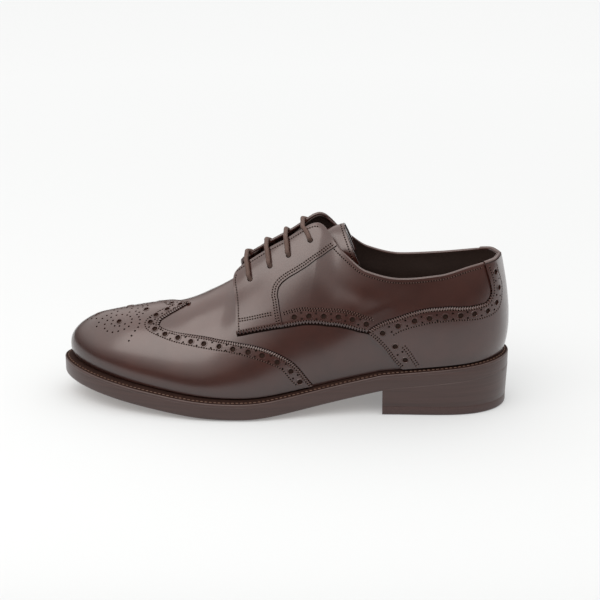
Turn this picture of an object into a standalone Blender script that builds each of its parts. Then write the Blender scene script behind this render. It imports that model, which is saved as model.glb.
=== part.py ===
"""Full brogue derby, a man's left shoe, built as its maker builds it: one lasted upper with its overlays,
a tongue and four lace bars, on an insole, welt, outsole and stacked heel.

The toe points to -X, the outer side of the foot to -Y, and +Z is up. The shoe stands on Z = 0.
The sizes are in millimetres; add_faces and build_lace_bars turn them into metres.
"""

import math
from collections import namedtuple

import bmesh
import bpy
import numpy as np

MM = 0.001

# Driving sizes of the last and of the bottom stock.
LAST_LENGTH = 292.0
BALL_WIDTH = 92.0
HEEL_BACK_X = 146.0
OUTSOLE_THICK = 8.8
WELT_THICK = 3.6
TOE_SPRING = 14.5
TOE_CURVE = 1.25
WAIST_CURVE = 1.15
HEEL_BREAST_X = 64.0
HEEL_BREAST_HEIGHT = 16.8
HEEL_BACK_HEIGHT = 25.0
TOP_PIECE_THICK = 6.0
TREAD_FRONT_X = -44.0
TREAD_BACK_X = -20.0
RIDGE_FADE = 8.0
SOLE_BEVEL = 1.0
WELT_INSIDE = 8.0
INSOLE_CLEAR = 0.8
HEEL_TAPER = 0.8
BACK_SEAM = 0.006
FOOT_RISE = 0.02
FACING_INSET = 0.004
LACE_CLEAR = 0.35
LACE_ARCH = 1.0

# The lacing slot, and how far the front corners of the quarters stand off the vamp.
SLOT_FRONT_X = -24.0
SLOT_NOSE = 9.0
SLOT_FRONT_HALF = 10.5
SLOT_SPREAD = 0.02
SLOT_END_ROUND = (0.36, 0.44)
EDGE_BLEND = 4.0
EDGE_STEPS = 241
EDGE_LOWEST = 0.4
TAB_LIFT = 6.5
TAB_LIFT_ROUND = (0.50, 0.645)
TAB_LIFT_RISE = (0.50, 0.85)

# Thicknesses of the leathers, and the gaps that pieces keep: skins that lie on a curved wall keep more.
WALL = 1.8
OVERLAY = 1.2
TRIM = 0.9
TONGUE_THICK = 2.0
INSOLE_THICK = 2.5
LACE_RADIUS = 1.3
FIT_GAP = 0.3
SKIN_GAP = 0.55
WING_EASE = 0.5

# Depths of the layers, measured from the lasted form: the upper lies inside it, the first overlays end
# just outside it, and the trim on top of those is the outermost leather.
UPPER_DEPTH = -1.5
OVERLAY_DEPTH = UPPER_DEPTH + SKIN_GAP
TRIM_DEPTH = OVERLAY_DEPTH + OVERLAY + SKIN_GAP
WING_DEPTH = OVERLAY_DEPTH + WING_EASE

# How finely each piece is divided.
UPPER_ROWS = 11
BODY_SHARES = (0.0, 0.86, 31)
NOSE_SHARES = (0.606, 0.642, 6)
TOE_SHARES = (0.86, 1.0, 10)
WING_ROWS = 12
WING_COLUMNS = 21
WING_CROWDING = 1.4
QUARTER_ROWS = 9
QUARTER_COLUMNS = 24
FACING_ROWS = 10
FACING_COLUMNS = 7
COUNTER_COLUMNS = 23
COUNTER_ROWS_UP = 6
TONGUE_LENGTHS = 11
TONGUE_WIDTHS = 11
SOLE_COLUMNS = 43
HEEL_COLUMNS = 16
HEEL_SAMPLES = 400
HEEL_SHARE = 0.45
LACE_SIDE_POINTS = 5
LACE_SLOT_POINTS = 6
LACE_ROUND_STEPS = 1
MERGE = 0.01
SHARP_EDGE = 40.0

# The feather line, where the upper meets the welt, seen from above: how far each station lies along the
# last in percent of its length, and how far out on each side in percent of the ball width. The wall then
# rises towards a point that stands out by the bulge.
Feather = namedtuple("Feather", "station along outer inner wall bulge_outer bulge_inner welt")
FEATHER_ROWS = [
    Feather("heel back", 1.0, 0.0, 0.0, 17.0, 5.6, 5.6, 4.4),
    Feather("heel corner", 3.2, 18.6, 18.6, 18.0, 5.2, 5.2, 4.2),
    Feather("heel round", 8.0, 29.7, 29.1, 20.0, 4.5, 4.5, 3.6),
    Feather("heel wide", 15.6, 34.2, 33.2, 22.0, 3.8, 3.8, 3.2),
    Feather("heel front", 25.9, 34.8, 30.4, 24.0, 4.0, 6.5, 3.2),
    Feather("waist", 34.7, 36.6, 28.3, 26.0, 4.0, 9.0, 3.6),
    Feather("fore waist", 42.2, 40.2, 29.1, 26.0, 4.0, 9.5, 4.0),
    Feather("shank", 49.0, 45.1, 32.6, 25.0, 4.0, 8.0, 4.6),
    Feather("outer ball", 57.8, 50.3, 41.8, 22.0, 4.0, 5.0, 5.3),
    Feather("tread", 62.9, 50.7, 45.6, 20.5, 4.0, 4.5, 5.5),
    Feather("inner ball", 68.0, 50.0, 48.9, 19.0, 4.0, 4.0, 5.8),
    Feather("fore ball", 78.2, 43.5, 47.3, 17.0, 3.5, 3.5, 6.2),
    Feather("toe side", 87.1, 34.6, 41.0, 15.5, 4.0, 4.0, 6.5),
    Feather("toe round", 93.9, 23.0, 30.6, 14.5, 4.5, 4.5, 6.5),
    Feather("toe corner", 98.1, 10.4, 18.6, 14.0, 4.8, 4.8, 6.5),
    Feather("toe tip", 100.0, -4.3, 4.3, 14.0, 5.0, 5.0, 6.5),
]

# The top line of the lasted form: the collar from the heel to the instep, then the ridge of the instep and
# vamp down to the toe. Along is in percent of the last, centre and half in percent of the ball width; the
# heights are above the floor. The wall reaches this line from a point that lies out and below it.
Top = namedtuple("Top", "station along centre half height_outer height_inner out drop")
TOP_ROWS = [
    Top("heel back", 2.3, 0.0, 0.0, 102.0, 102.0, 5.0, 22.0),
    Top("heel corner", 3.8, 0.0, 15.8, 102.0, 101.0, 5.0, 22.0),
    Top("heel round", 8.5, 0.0, 26.6, 100.0, 97.5, 5.0, 22.0),
    Top("heel wide", 16.0, 0.0, 31.5, 94.3, 94.0, 4.0, 22.0),
    Top("heel front", 24.5, 0.0, 32.6, 92.0, 92.5, 4.0, 22.0),
    Top("waist", 32.0, 0.0, 29.9, 96.0, 97.8, 5.0, 20.0),
    Top("fore waist", 37.4, 0.0, 21.7, 107.0, 110.5, 7.0, 16.0),
    Top("shank", 43.6, 0.0, 6.0, 127.0, 130.0, 16.0, 4.0),
    Top("outer ball", 50.5, 0.0, 0.0, 112.0, 112.0, 20.0, 0.0),
    Top("tread", 56.5, 0.2, 0.0, 97.0, 97.0, 20.0, 0.0),
    Top("inner ball", 62.6, 0.5, 0.0, 82.5, 82.5, 18.0, 0.0),
    Top("fore ball", 74.1, 1.5, 0.0, 66.8, 66.8, 20.0, 0.0),
    Top("toe side", 82.7, 3.2, 0.0, 61.8, 61.8, 18.0, 0.0),
    Top("toe round", 88.8, 4.2, 0.0, 58.1, 58.1, 15.0, 0.0),
    Top("toe corner", 92.2, 4.3, 0.0, 55.8, 55.8, 14.0, 0.0),
    Top("toe tip", 93.5, 4.3, 0.0, 54.6, 54.6, 14.0, 0.0),
]

# Seams on the lasted form. Round is how far a place lies from the heel to the toe, rise how far up its rib,
# and up how far between the two edges of a quarter, all in percent.
WING_EDGE = [  # rise, round
    (0.0, 43.0), (12.5, 45.4), (20.0, 48.2), (27.5, 52.4), (32.0, 56.3), (41.0, 62.6), (50.0, 69.0),
    (54.0, 72.5), (58.5, 75.7), (63.5, 77.7), (68.0, 77.9), (77.0, 75.9), (86.0, 74.0), (100.0, 73.6),
]
QUARTER_FOOT = [  # round, rise
    (0.0, 2.0), (25.0, 2.0), (28.0, 18.0), (31.0, 34.0), (34.0, 41.5), (37.5, 45.0), (41.0, 45.0),
    (44.0, 42.5), (48.0, 40.0), (51.0, 39.2), (54.0, 39.2), (58.0, 40.8), (62.0, 43.3), (66.0, 45.0),
]
QUARTER_FRONT = [  # up, round
    (0.0, 61.7), (30.0, 62.8), (60.0, 64.1), (80.0, 64.8), (90.0, 64.8), (96.0, 64.2), (100.0, 63.1),
]
FACING_REAR = [  # up, round
    (0.0, 52.6), (28.0, 54.9), (42.0, 55.6), (50.0, 55.3), (55.0, 53.6), (60.0, 50.7), (67.0, 48.2),
    (80.0, 46.0), (100.0, 44.3),
]
Counter = namedtuple("Counter", "place foot_round top_round top_rise")
COUNTER_ROWS = [
    Counter("front peak", 26.7, 33.8, 42.5),
    Counter("shoulder", 25.5, 32.1, 52.5),
    Counter("rising edge", 22.5, 27.5, 62.5),
    Counter("crest", 19.0, 22.1, 68.3),
    Counter("side", 15.5, 16.2, 65.8),
    Counter("dip", 12.0, 10.8, 63.3),
    Counter("turn", 9.8, 8.8, 66.7),
    Counter("strip foot", 8.0, 7.9, 73.3),
    Counter("strip side", 6.2, 8.3, 84.2),
    Counter("strip corner", 4.4, 8.8, 99.0),
    Counter("strip half", 2.2, 4.4, 99.0),
    Counter("back seam", 0.0, 0.0, 99.0),
]
Eyelet = namedtuple("Eyelet", "round up edge_round")
EYELETS = [
    Eyelet(59.9, 66.0, 62.6),
    Eyelet(56.9, 68.0, 58.8),
    Eyelet(53.4, 70.0, 55.2),
    Eyelet(48.8, 73.0, 51.4),
]

# The tongue's centre line and its section: a rounded roof across that line.
Tongue = namedtuple("Tongue", "x height half")
TONGUE_ROWS = [
    Tongue(-40.0, 73.5, 14.0),
    Tongue(-22.0, 84.5, 16.0),
    Tongue(-6.0, 97.0, 18.0),
    Tongue(8.0, 107.0, 18.0),
    Tongue(22.0, 115.5, 16.0),
    Tongue(30.0, 118.8, 16.0),
    Tongue(37.0, 121.2, 18.0),
]
TONGUE_PITCH = 1.2
TONGUE_ROUND = 7.0


def closed_spline(knots, values):
    """Cubic spline with an even bend through values on a loop whose length is 1."""
    knots = np.asarray(knots)
    values = np.asarray(values)
    count = len(knots)
    gap = np.diff(np.append(knots, knots[0] + 1.0))
    slope = (np.roll(values, -1) - values) / gap
    row = np.arange(count)
    system = np.zeros((count, count))
    system[row, row] = 2.0 * (gap + np.roll(gap, 1))
    system[row, (row + 1) % count] += gap
    system[row, (row - 1) % count] += np.roll(gap, 1)
    bend = np.linalg.solve(system, 6.0 * (slope - np.roll(slope, 1)))

    def at(t):
        t = np.mod(t, 1.0)
        i = np.searchsorted(knots, t, side="right") - 1
        j = (i + 1) % count
        a = (t - knots[i]) / gap[i]
        b = 1.0 - a
        curve = (b**3 - b) * bend[i] + (a**3 - a) * bend[j]
        return b * values[i] + a * values[j] + curve * gap[i]**2 / 6.0

    return at


def steady_spline(knots, values):
    """Cubic spline on the same loop that never swings past its own values."""
    knots = np.asarray(knots)
    values = np.asarray(values)
    count = len(knots)
    gap = np.diff(np.append(knots, knots[0] + 1.0))
    ahead = (np.roll(values, -1) - values) / gap
    behind = np.roll(ahead, 1)
    same_way = ahead * behind > 0.0
    total = np.where(same_way, ahead + behind, 1.0)
    slope = np.where(same_way, 2.0 * ahead * behind / total, 0.0)

    def at(t):
        t = np.mod(t, 1.0)
        i = np.searchsorted(knots, t, side="right") - 1
        j = (i + 1) % count
        a = (t - knots[i]) / gap[i]
        start = values[i] * (1.0 + 2.0 * a) * (1.0 - a)**2 + values[j] * a**2 * (3.0 - 2.0 * a)
        return start + gap[i] * a * (1.0 - a) * (slope[i] * (1.0 - a) - slope[j] * a)

    return at


def column(rows, name):
    """One named column of a table as an array."""
    return np.array([getattr(row, name) for row in rows])


def last_x(along):
    """Place along the shoe of a share of the last, counted from the heel."""
    return HEEL_BACK_X - along * LAST_LENGTH / 100.0


def last_y(share):
    """Distance across the shoe of a share of the ball width."""
    return share * BALL_WIDTH / 100.0


def around(outer, inner):
    """Join the outer side from heel to toe and the inner side from toe to heel into one loop."""
    return np.concatenate([outer, inner[-2:0:-1]])


def station_shares():
    """Place of each station between heel and toe, by the mean length of the two feather lines."""
    x = last_x(column(FEATHER_ROWS, "along"))
    outer = np.hypot(np.diff(x), np.diff(last_y(column(FEATHER_ROWS, "outer"))))
    inner = np.hypot(np.diff(x), np.diff(last_y(column(FEATHER_ROWS, "inner"))))
    run = np.concatenate([[0.0], np.cumsum(0.5 * (outer + inner))])
    return run / run[-1]


SHARES = station_shares()
KNOTS = around(0.5 * SHARES, 1.0 - 0.5 * SHARES)


def loop_spline(rows, outer, inner, kind=closed_spline):
    """Spline round the shoe through one column for the outer side and one for the inner."""
    return kind(KNOTS, around(column(rows, outer), column(rows, inner)))


feather_along = loop_spline(FEATHER_ROWS, "along", "along")
feather_across = closed_spline(KNOTS, around(-column(FEATHER_ROWS, "outer"), column(FEATHER_ROWS, "inner")))
wall_rise = loop_spline(FEATHER_ROWS, "wall", "wall")
wall_bulge = loop_spline(FEATHER_ROWS, "bulge_outer", "bulge_inner")
welt_reach = loop_spline(FEATHER_ROWS, "welt", "welt")
top_along = loop_spline(TOP_ROWS, "along", "along", steady_spline)
top_centre = loop_spline(TOP_ROWS, "centre", "centre", steady_spline)
top_half = loop_spline(TOP_ROWS, "half", "half", steady_spline)
top_height = loop_spline(TOP_ROWS, "height_outer", "height_inner", steady_spline)
crown_out = loop_spline(TOP_ROWS, "out", "out", steady_spline)
crown_drop = loop_spline(TOP_ROWS, "drop", "drop", steady_spline)


def share_of(t):
    """How far from heel to toe a place on the loop lies."""
    return 1.0 - np.abs(1.0 - 2.0 * np.mod(t, 1.0))


def side_of(t):
    """Minus one on the outer side of the loop, plus one on the inner side."""
    return np.where(np.mod(t, 1.0) <= 0.5, -1.0, 1.0)


def bottom_height(x):
    """Height of the outsole's underside: toe spring, flat tread, rising waist, straight heel seat."""
    toe_x = last_x(100.0) - FEATHER_ROWS[-1].welt
    toe = np.clip((TREAD_FRONT_X - x) / (TREAD_FRONT_X - toe_x), 0.0, None)
    waist = np.clip((x - TREAD_BACK_X) / (HEEL_BREAST_X - TREAD_BACK_X), 0.0, 1.0)
    heel = np.clip(x - HEEL_BREAST_X, 0.0, None) / (HEEL_BACK_X - HEEL_BREAST_X)
    rise = HEEL_BACK_HEIGHT - HEEL_BREAST_HEIGHT
    return TOE_SPRING * toe**TOE_CURVE + HEEL_BREAST_HEIGHT * waist**WAIST_CURVE + rise * heel


def plan_normal(t):
    """Outward direction of the feather line, seen from above."""
    step = 1e-4
    dx = last_x(feather_along(t + step)) - last_x(feather_along(t - step))
    dy = last_y(feather_across(t + step) - feather_across(t - step))
    length = np.hypot(dx, dy)
    return -dy / length, dx / length


def feather(t):
    """Feather line on the loop."""
    x = last_x(feather_along(t))
    y = last_y(feather_across(t))
    z = bottom_height(x) + OUTSOLE_THICK + WELT_THICK + 2.0 * FIT_GAP
    return np.stack([x, y, z], axis=-1)


def top_line(t):
    """Collar and ridge on the loop."""
    x = last_x(top_along(t))
    y = last_y(top_centre(t) + side_of(t) * top_half(t))
    return np.stack([x, y, top_height(t)], axis=-1)


def ridge_slope(t):
    """Rise of the vamp's ridge for each millimetre towards the heel."""
    step = 0.02
    share = np.minimum(share_of(t), 1.0)
    front = 0.5 * share
    back = 0.5 * (share - step)
    run = last_x(top_along(front)) - last_x(top_along(back))
    return (top_height(front) - top_height(back)) / np.where(np.abs(run) < 1e-6, 1e-6, run)


def surface(t, v):
    """Point of the lasted form: a rib is a cubic Bezier from the feather line up to the top line."""
    nx, ny = plan_normal(t)
    foot = feather(t)
    top = top_line(t)
    out = np.stack([nx, ny, np.zeros_like(nx)], axis=-1)
    up = np.array([0.0, 0.0, 1.0])
    wall = foot + wall_bulge(t)[..., None] * out + wall_rise(t)[..., None] * up
    on_ridge = np.clip(1.0 - top_half(t) / RIDGE_FADE, 0.0, 1.0)
    lean = crown_out(t) * nx * ridge_slope(t) * on_ridge - crown_drop(t)
    crown = top + crown_out(t)[..., None] * out + lean[..., None] * up
    w = v[..., None]
    u = 1.0 - w
    return u**3 * foot + 3.0 * u**2 * w * wall + 3.0 * u * w**2 * crown + w**3 * top


def side_normal(t, v):
    """Unit normal of the lasted form, measured on one side of the ridge."""
    step = 1e-3
    near_top = np.minimum(v, 1.0 - 4.0 * step)
    rise = surface(t, np.clip(v + step, 0.0, 1.0)) - surface(t, np.clip(v - step, 0.0, 1.0))
    run = surface(t + step, near_top) - surface(t - step, near_top)
    normal = np.cross(rise, run)
    return normal / np.linalg.norm(normal, axis=-1, keepdims=True)


def outward(t, v):
    """Unit normal of the lasted form, shared by both sides where they meet on the ridge."""
    own = side_normal(t, v)
    both = own + side_normal(1.0 - t, v)
    both = both / np.linalg.norm(both, axis=-1, keepdims=True)
    on_ridge = (v > 0.999) & (top_half(t) < 1e-6)
    return np.where(on_ridge[..., None], both, own)


def skin(t, v, depth):
    """Point at a depth outside the lasted form."""
    return surface(t, v) + np.broadcast_to(depth, t.shape)[..., None] * outward(t, v)


def smooth_step(value, low, high):
    """Rise from nought to one between low and high, level at both ends."""
    share = np.clip((value - low) / (high - low), 0.0, 1.0)
    return share * share * (3.0 - 2.0 * share)


def through(points, at):
    """Smooth curve through a short table of two columns, steady between its rows."""
    place, value = np.array(points).T
    ahead = np.diff(value) / np.diff(place)
    same_way = ahead[1:] * ahead[:-1] > 0.0
    total = np.where(same_way, ahead[1:] + ahead[:-1], 1.0)
    inside = np.where(same_way, 2.0 * ahead[1:] * ahead[:-1] / total, 0.0)
    slope = np.concatenate([ahead[:1], inside, ahead[-1:]])
    at = np.clip(at, place[0], place[-1])
    i = np.clip(np.searchsorted(place, at, side="right") - 1, 0, len(place) - 2)
    gap = place[i + 1] - place[i]
    a = (at - place[i]) / gap
    level = value[i] * (1.0 + 2.0 * a) * (1.0 - a)**2 + value[i + 1] * a**2 * (3.0 - 2.0 * a)
    return level + gap * a * (1.0 - a) * (slope[i] * (1.0 - a) - slope[i + 1] * a)


def slot_half(t, nose):
    """Half width of the lacing slot, widening to the instep; its round nose is in the upper alone."""
    on_top = last_x(top_along(t))
    width = SLOT_FRONT_HALF + SLOT_SPREAD * np.clip(on_top - SLOT_FRONT_X, 0.0, None)
    if nose:
        into = np.clip((on_top - SLOT_FRONT_X) / SLOT_NOSE, 0.0, 1.0)
        width = width * np.sqrt(1.0 - (1.0 - into)**2)
    return width * smooth_step(share_of(t), *SLOT_END_ROUND)


def edge_rise(t, nose=False):
    """Height up the rib of the collar and of the slot's edge."""
    collar = last_y(top_half(t))
    slot = slot_half(t, nose)
    edge = (collar**EDGE_BLEND + slot**EDGE_BLEND)**(1.0 / EDGE_BLEND)
    v = np.linspace(1.0, EDGE_LOWEST, EDGE_STEPS)
    ribs = surface(np.repeat(t[:, None], EDGE_STEPS, axis=1), np.tile(v, (len(t), 1)))
    away = np.abs(ribs[..., 1] - last_y(top_centre(t))[:, None])
    past = away > edge[:, None]
    first = np.argmax(past, axis=1)
    row = np.arange(len(t))
    before = np.maximum(first - 1, 0)
    span = away[row, first] - away[row, before]
    share = np.where(span > 1e-9, (edge - away[row, before]) / np.where(span > 1e-9, span, 1.0), 0.0)
    found = v[before] + np.clip(share, 0.0, 1.0) * (v[first] - v[before])
    return np.where(edge <= collar + 0.02, 1.0, found)


def tab_lift(t, v):
    """How far the front of a quarter stands off the vamp under its lacing."""
    return TAB_LIFT * smooth_step(share_of(t), *TAB_LIFT_ROUND) * smooth_step(v, *TAB_LIFT_RISE)


def loop_place(share, side):
    """Place on the loop of a share of the way from heel to toe, on the outer (-1) or inner (+1) side."""
    return np.where(side < 0, 0.5 * share, 1.0 - 0.5 * share)


def plan_outline(t, reach):
    """Outline seen from above, at a reach outside the feather line."""
    foot = feather(t)
    nx, ny = plan_normal(t)
    return np.stack([foot[..., 0] + reach * nx, foot[..., 1] + reach * ny], axis=-1)


def clear_scene():
    """Start from an empty scene."""
    for old in list(bpy.data.objects):
        bpy.data.objects.remove(old, do_unlink=True)


def make_material(name, colour, roughness):
    """Principled material of one leather, rubber or cord."""
    material = bpy.data.materials.new(name)
    material.use_nodes = True
    shader = material.node_tree.nodes["Principled BSDF"]
    shader.inputs["Base Color"].default_value = (*colour, 1.0)
    shader.inputs["Roughness"].default_value = roughness
    shader.inputs["Metallic"].default_value = 0.0
    return material


def place_object(name, data, material):
    """Add an object to the shoe's collection."""
    data.materials.append(material)
    thing = bpy.data.objects.new(name, data)
    SHOE.objects.link(thing)
    return thing


def add_faces(name, points, faces, material):
    """Mesh object from points in millimetres, with coincident points merged and faces turned out."""
    mesh = bpy.data.meshes.new(name)
    centred = (np.asarray(points) - CENTRE) * MM
    mesh.from_pydata(centred.tolist(), [], faces)
    work = bmesh.new()
    work.from_mesh(mesh)
    bmesh.ops.remove_doubles(work, verts=work.verts, dist=MERGE * MM)
    bmesh.ops.dissolve_degenerate(work, edges=work.edges, dist=MERGE * MM)
    work.to_mesh(mesh)
    work.free()
    mesh.shade_smooth()
    mesh.set_sharp_from_angle(angle=math.radians(SHARP_EDGE))
    return place_object(name, mesh, material)


def grid_faces(rows, columns, round_rows=False, round_columns=False):
    """Quads of a grid, closed round where asked."""
    faces = []
    for i in range(rows if round_rows else rows - 1):
        for j in range(columns if round_columns else columns - 1):
            k = (i + 1) % rows
            m = (j + 1) % columns
            faces.append((i * columns + j, i * columns + m, k * columns + m, k * columns + j))
    return faces


def add_sheet(name, grid, thickness, material, round_rows=False):
    """Leather sheet: an open lofted surface given its thickness outwards by Solidify."""
    rows, columns = grid.shape[:2]
    faces = grid_faces(rows, columns, round_rows)
    sheet = add_faces(name, grid.reshape(-1, 3), faces, material)
    solid = sheet.modifiers.new("thickness", "SOLIDIFY")
    solid.thickness = thickness * MM
    solid.offset = 1.0
    return sheet


def add_slab(name, rings, material):
    """Bottom piece: rings lofted from the top down, with the first and last closed straight across."""
    count = len(rings[0])
    faces = grid_faces(len(rings), count, round_columns=True)
    for ring, turned in ((0, True), (len(rings) - 1, False)):
        for i in range(count // 2):
            cap = [i, i + 1, count - i - 1, (count - i) % count]
            cap = list(dict.fromkeys(ring * count + k for k in cap))
            faces.append(tuple(reversed(cap)) if turned else tuple(cap))
    return add_faces(name, np.concatenate(rings), faces, material)


def add_ring(name, rings, material):
    """Bottom piece with a hole: rings lofted one to the next and back to the first."""
    faces = grid_faces(len(rings), len(rings[0]), round_rows=True, round_columns=True)
    return add_faces(name, np.concatenate(rings), faces, material)


def with_height(plan, height):
    """Plan points given a height each."""
    return np.column_stack([plan, np.broadcast_to(height, len(plan))])


def side_shares():
    """Shares from heel to toe, closer together where the slot's nose and the toe turn."""
    parts = [np.linspace(*part) for part in (BODY_SHARES, NOSE_SHARES, TOE_SHARES)]
    return np.unique(np.concatenate(parts))


def whole_loop(shares):
    """The loop from the heel along the outer side to the toe and back along the inner side."""
    return around(0.5 * shares, 1.0 - 0.5 * shares)


def build_upper(material):
    """Lasted wall, open at the collar, along the slot and underneath."""
    t = whole_loop(side_shares())
    v = edge_rise(t, nose=True)[:, None] * np.linspace(0.0, 1.0, UPPER_ROWS)
    places = np.repeat(t[:, None], UPPER_ROWS, axis=1)
    grid = skin(places, v, UPPER_DEPTH - WALL)
    return add_sheet("upper", grid, WALL, material, round_rows=True)


def build_wing_cap(material):
    """Winged toe overlay, from its outer wing round the toe to its inner wing."""
    v = np.linspace(FOOT_RISE, 1.0, WING_ROWS)
    back = through(WING_EDGE, 100.0 * v) / 100.0
    along = 1.0 - np.linspace(1.0, 0.0, WING_COLUMNS)**WING_CROWDING
    share = back + (1.0 - back) * along[:, None]
    t = np.concatenate([0.5 * share, 1.0 - 0.5 * share[-2::-1]])
    rise = np.broadcast_to(v, t.shape)
    return add_sheet("wing_cap", skin(t, rise, WING_DEPTH), TRIM, material)


def face_out(grid, side):
    """The ribs of a grid in the order that turns its face outwards on either side of the shoe."""
    return grid if side < 0 else grid[::-1]


def quarter_place(share, up, side):
    """Place on the loop and rise on the rib, from a quarter's own two directions."""
    t = loop_place(share, side)
    foot = through(QUARTER_FOOT, 100.0 * share) / 100.0
    top = edge_rise(t.ravel()).reshape(t.shape)
    return t, foot + (top - foot) * up


def build_quarter(name, side, material):
    """Quarter overlay from the back seam to the lacing, lifted off the vamp at its front corner."""
    up = np.linspace(0.0, 1.0, QUARTER_ROWS)
    front = through(QUARTER_FRONT, 100.0 * up) / 100.0
    along = np.linspace(0.0, 1.0, QUARTER_COLUMNS)[:, None]
    share = BACK_SEAM + (front - BACK_SEAM) * along
    t, v = quarter_place(share, np.broadcast_to(up, share.shape), side)
    grid = skin(t, v, OVERLAY_DEPTH + tab_lift(t, v))
    return add_sheet(name, face_out(grid, side), OVERLAY, material)


def facing_skin(share, up, side, depth):
    """Point on a facing, from the quarter's own two directions."""
    t, v = quarter_place(share, up, side)
    return skin(t, v, depth + tab_lift(t, v))


def build_facing(name, side, material):
    """Eyelet overlay on the front of a quarter."""
    up = np.linspace(FACING_INSET, 1.0 - FACING_INSET, FACING_ROWS)
    front = through(QUARTER_FRONT, 100.0 * up) / 100.0 - FACING_INSET
    rear = through(FACING_REAR, 100.0 * up) / 100.0
    along = np.linspace(0.0, 1.0, FACING_COLUMNS)[:, None]
    share = rear + (front - rear) * along
    grid = facing_skin(share, np.broadcast_to(up, share.shape), side, TRIM_DEPTH)
    return add_sheet(name, face_out(grid, side), TRIM, material)


def build_counter(material):
    """Heel overlay, from one front peak round the back, with its strip up to the collar."""
    place = np.arange(len(COUNTER_ROWS), dtype=float)
    along = np.linspace(0.0, place[-1], COUNTER_COLUMNS)
    foot = np.interp(along, place, column(COUNTER_ROWS, "foot_round")) / 100.0
    top = np.interp(along, place, column(COUNTER_ROWS, "top_round")) / 100.0
    rise = np.interp(along, place, column(COUNTER_ROWS, "top_rise")) / 100.0
    up = np.linspace(0.0, 1.0, COUNTER_ROWS_UP)
    share = foot[:, None] + (top - foot)[:, None] * up
    v = FOOT_RISE + (rise - FOOT_RISE)[:, None] * up
    inner = 1.0 - 0.5 * share[:-1]
    outer = 0.5 * share[::-1]
    t = np.concatenate([inner, outer])
    v = np.concatenate([v[:-1], v[::-1]])
    return add_sheet("heel_counter", skin(t, v, TRIM_DEPTH), TRIM, material)


def build_tongue(material):
    """Tongue under the slot: a rounded roof carried along its centre line."""
    x = column(TONGUE_ROWS, "x")
    along = np.linspace(x[0], x[-1], TONGUE_LENGTHS)
    height = through(list(zip(x, column(TONGUE_ROWS, "height"))), along)
    half = through(list(zip(x, column(TONGUE_ROWS, "half"))), along)
    slope = np.gradient(height, along)
    run = np.hypot(1.0, slope)
    across = np.linspace(-1.0, 1.0, TONGUE_WIDTHS)
    y = half[:, None] * across
    drop = np.sqrt((TONGUE_PITCH * y)**2 + TONGUE_ROUND**2) - TONGUE_ROUND
    grid = np.stack([
        along[:, None] + drop * (slope / run)[:, None],
        y,
        height[:, None] - drop / run[:, None],
    ], axis=-1)
    return add_sheet("tongue", grid, TONGUE_THICK, material)


def build_outsole(material):
    """Outsole with its toe spring, tread and waist; its lower edge is broken by a small bevel."""
    t = whole_loop(np.linspace(0.0, 1.0, SOLE_COLUMNS))
    edge = plan_outline(t, welt_reach(t))
    inset = plan_outline(t, welt_reach(t) - SOLE_BEVEL)
    under = bottom_height(edge[:, 0])
    rings = [
        with_height(edge, under + OUTSOLE_THICK),
        with_height(edge, under + SOLE_BEVEL),
        with_height(inset, bottom_height(inset[:, 0])),
    ]
    return add_slab("outsole", rings, material)


def build_welt(material):
    """Welt all round the shoe, under the foot of the upper."""
    t = whole_loop(np.linspace(0.0, 1.0, SOLE_COLUMNS))
    edge = plan_outline(t, welt_reach(t))
    hole = plan_outline(t, -WELT_INSIDE)
    seat = OUTSOLE_THICK + FIT_GAP
    rings = [
        with_height(hole, bottom_height(hole[:, 0]) + seat + WELT_THICK),
        with_height(edge, bottom_height(edge[:, 0]) + seat + WELT_THICK),
        with_height(edge, bottom_height(edge[:, 0]) + seat),
        with_height(hole, bottom_height(hole[:, 0]) + seat),
    ]
    return add_ring("welt", rings, material)


def build_insole(material):
    """Insole inside the foot of the upper, resting on the welt."""
    t = whole_loop(np.linspace(0.0, 1.0, SOLE_COLUMNS))
    edge = plan_outline(t, UPPER_DEPTH - WALL - INSOLE_CLEAR)
    seat = bottom_height(edge[:, 0]) + OUTSOLE_THICK + WELT_THICK + 2.0 * FIT_GAP
    rings = [with_height(edge, seat + INSOLE_THICK), with_height(edge, seat)]
    return add_slab("insole", rings, material)


def heel_outline(reach):
    """Outline of the heel seen from above, from the back along both sides to the straight breast."""
    share = np.linspace(0.0, HEEL_SHARE, HEEL_SAMPLES)
    sides = []
    for side in (-1.0, 1.0):
        t = loop_place(share, side)
        plan = plan_outline(t, welt_reach(t) + reach)
        run = np.linspace(0.0, 1.0, HEEL_COLUMNS)
        until = np.interp(-HEEL_BREAST_X, -plan[:, 0], share)
        sides.append(np.column_stack([np.interp(run * until, share, plan[:, k]) for k in (0, 1)]))
    outer, inner = sides
    middle = 0.5 * (outer[-1] + inner[-1])
    return np.concatenate([outer, middle[None, :], inner[:0:-1]])


def build_heel(stack_material, top_piece_material):
    """Stacked heel under the outsole and the top piece that it walks on."""
    upper_edge = heel_outline(0.0)
    lower_edge = heel_outline(-HEEL_TAPER)
    seat = bottom_height(upper_edge[:, 0]) - FIT_GAP
    joint = TOP_PIECE_THICK + FIT_GAP
    add_slab("heel_stack", [with_height(upper_edge, seat), with_height(lower_edge, joint)], stack_material)
    rings = [with_height(lower_edge, TOP_PIECE_THICK), with_height(lower_edge, 0.0)]
    add_slab("heel_top_piece", rings, top_piece_material)


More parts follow.
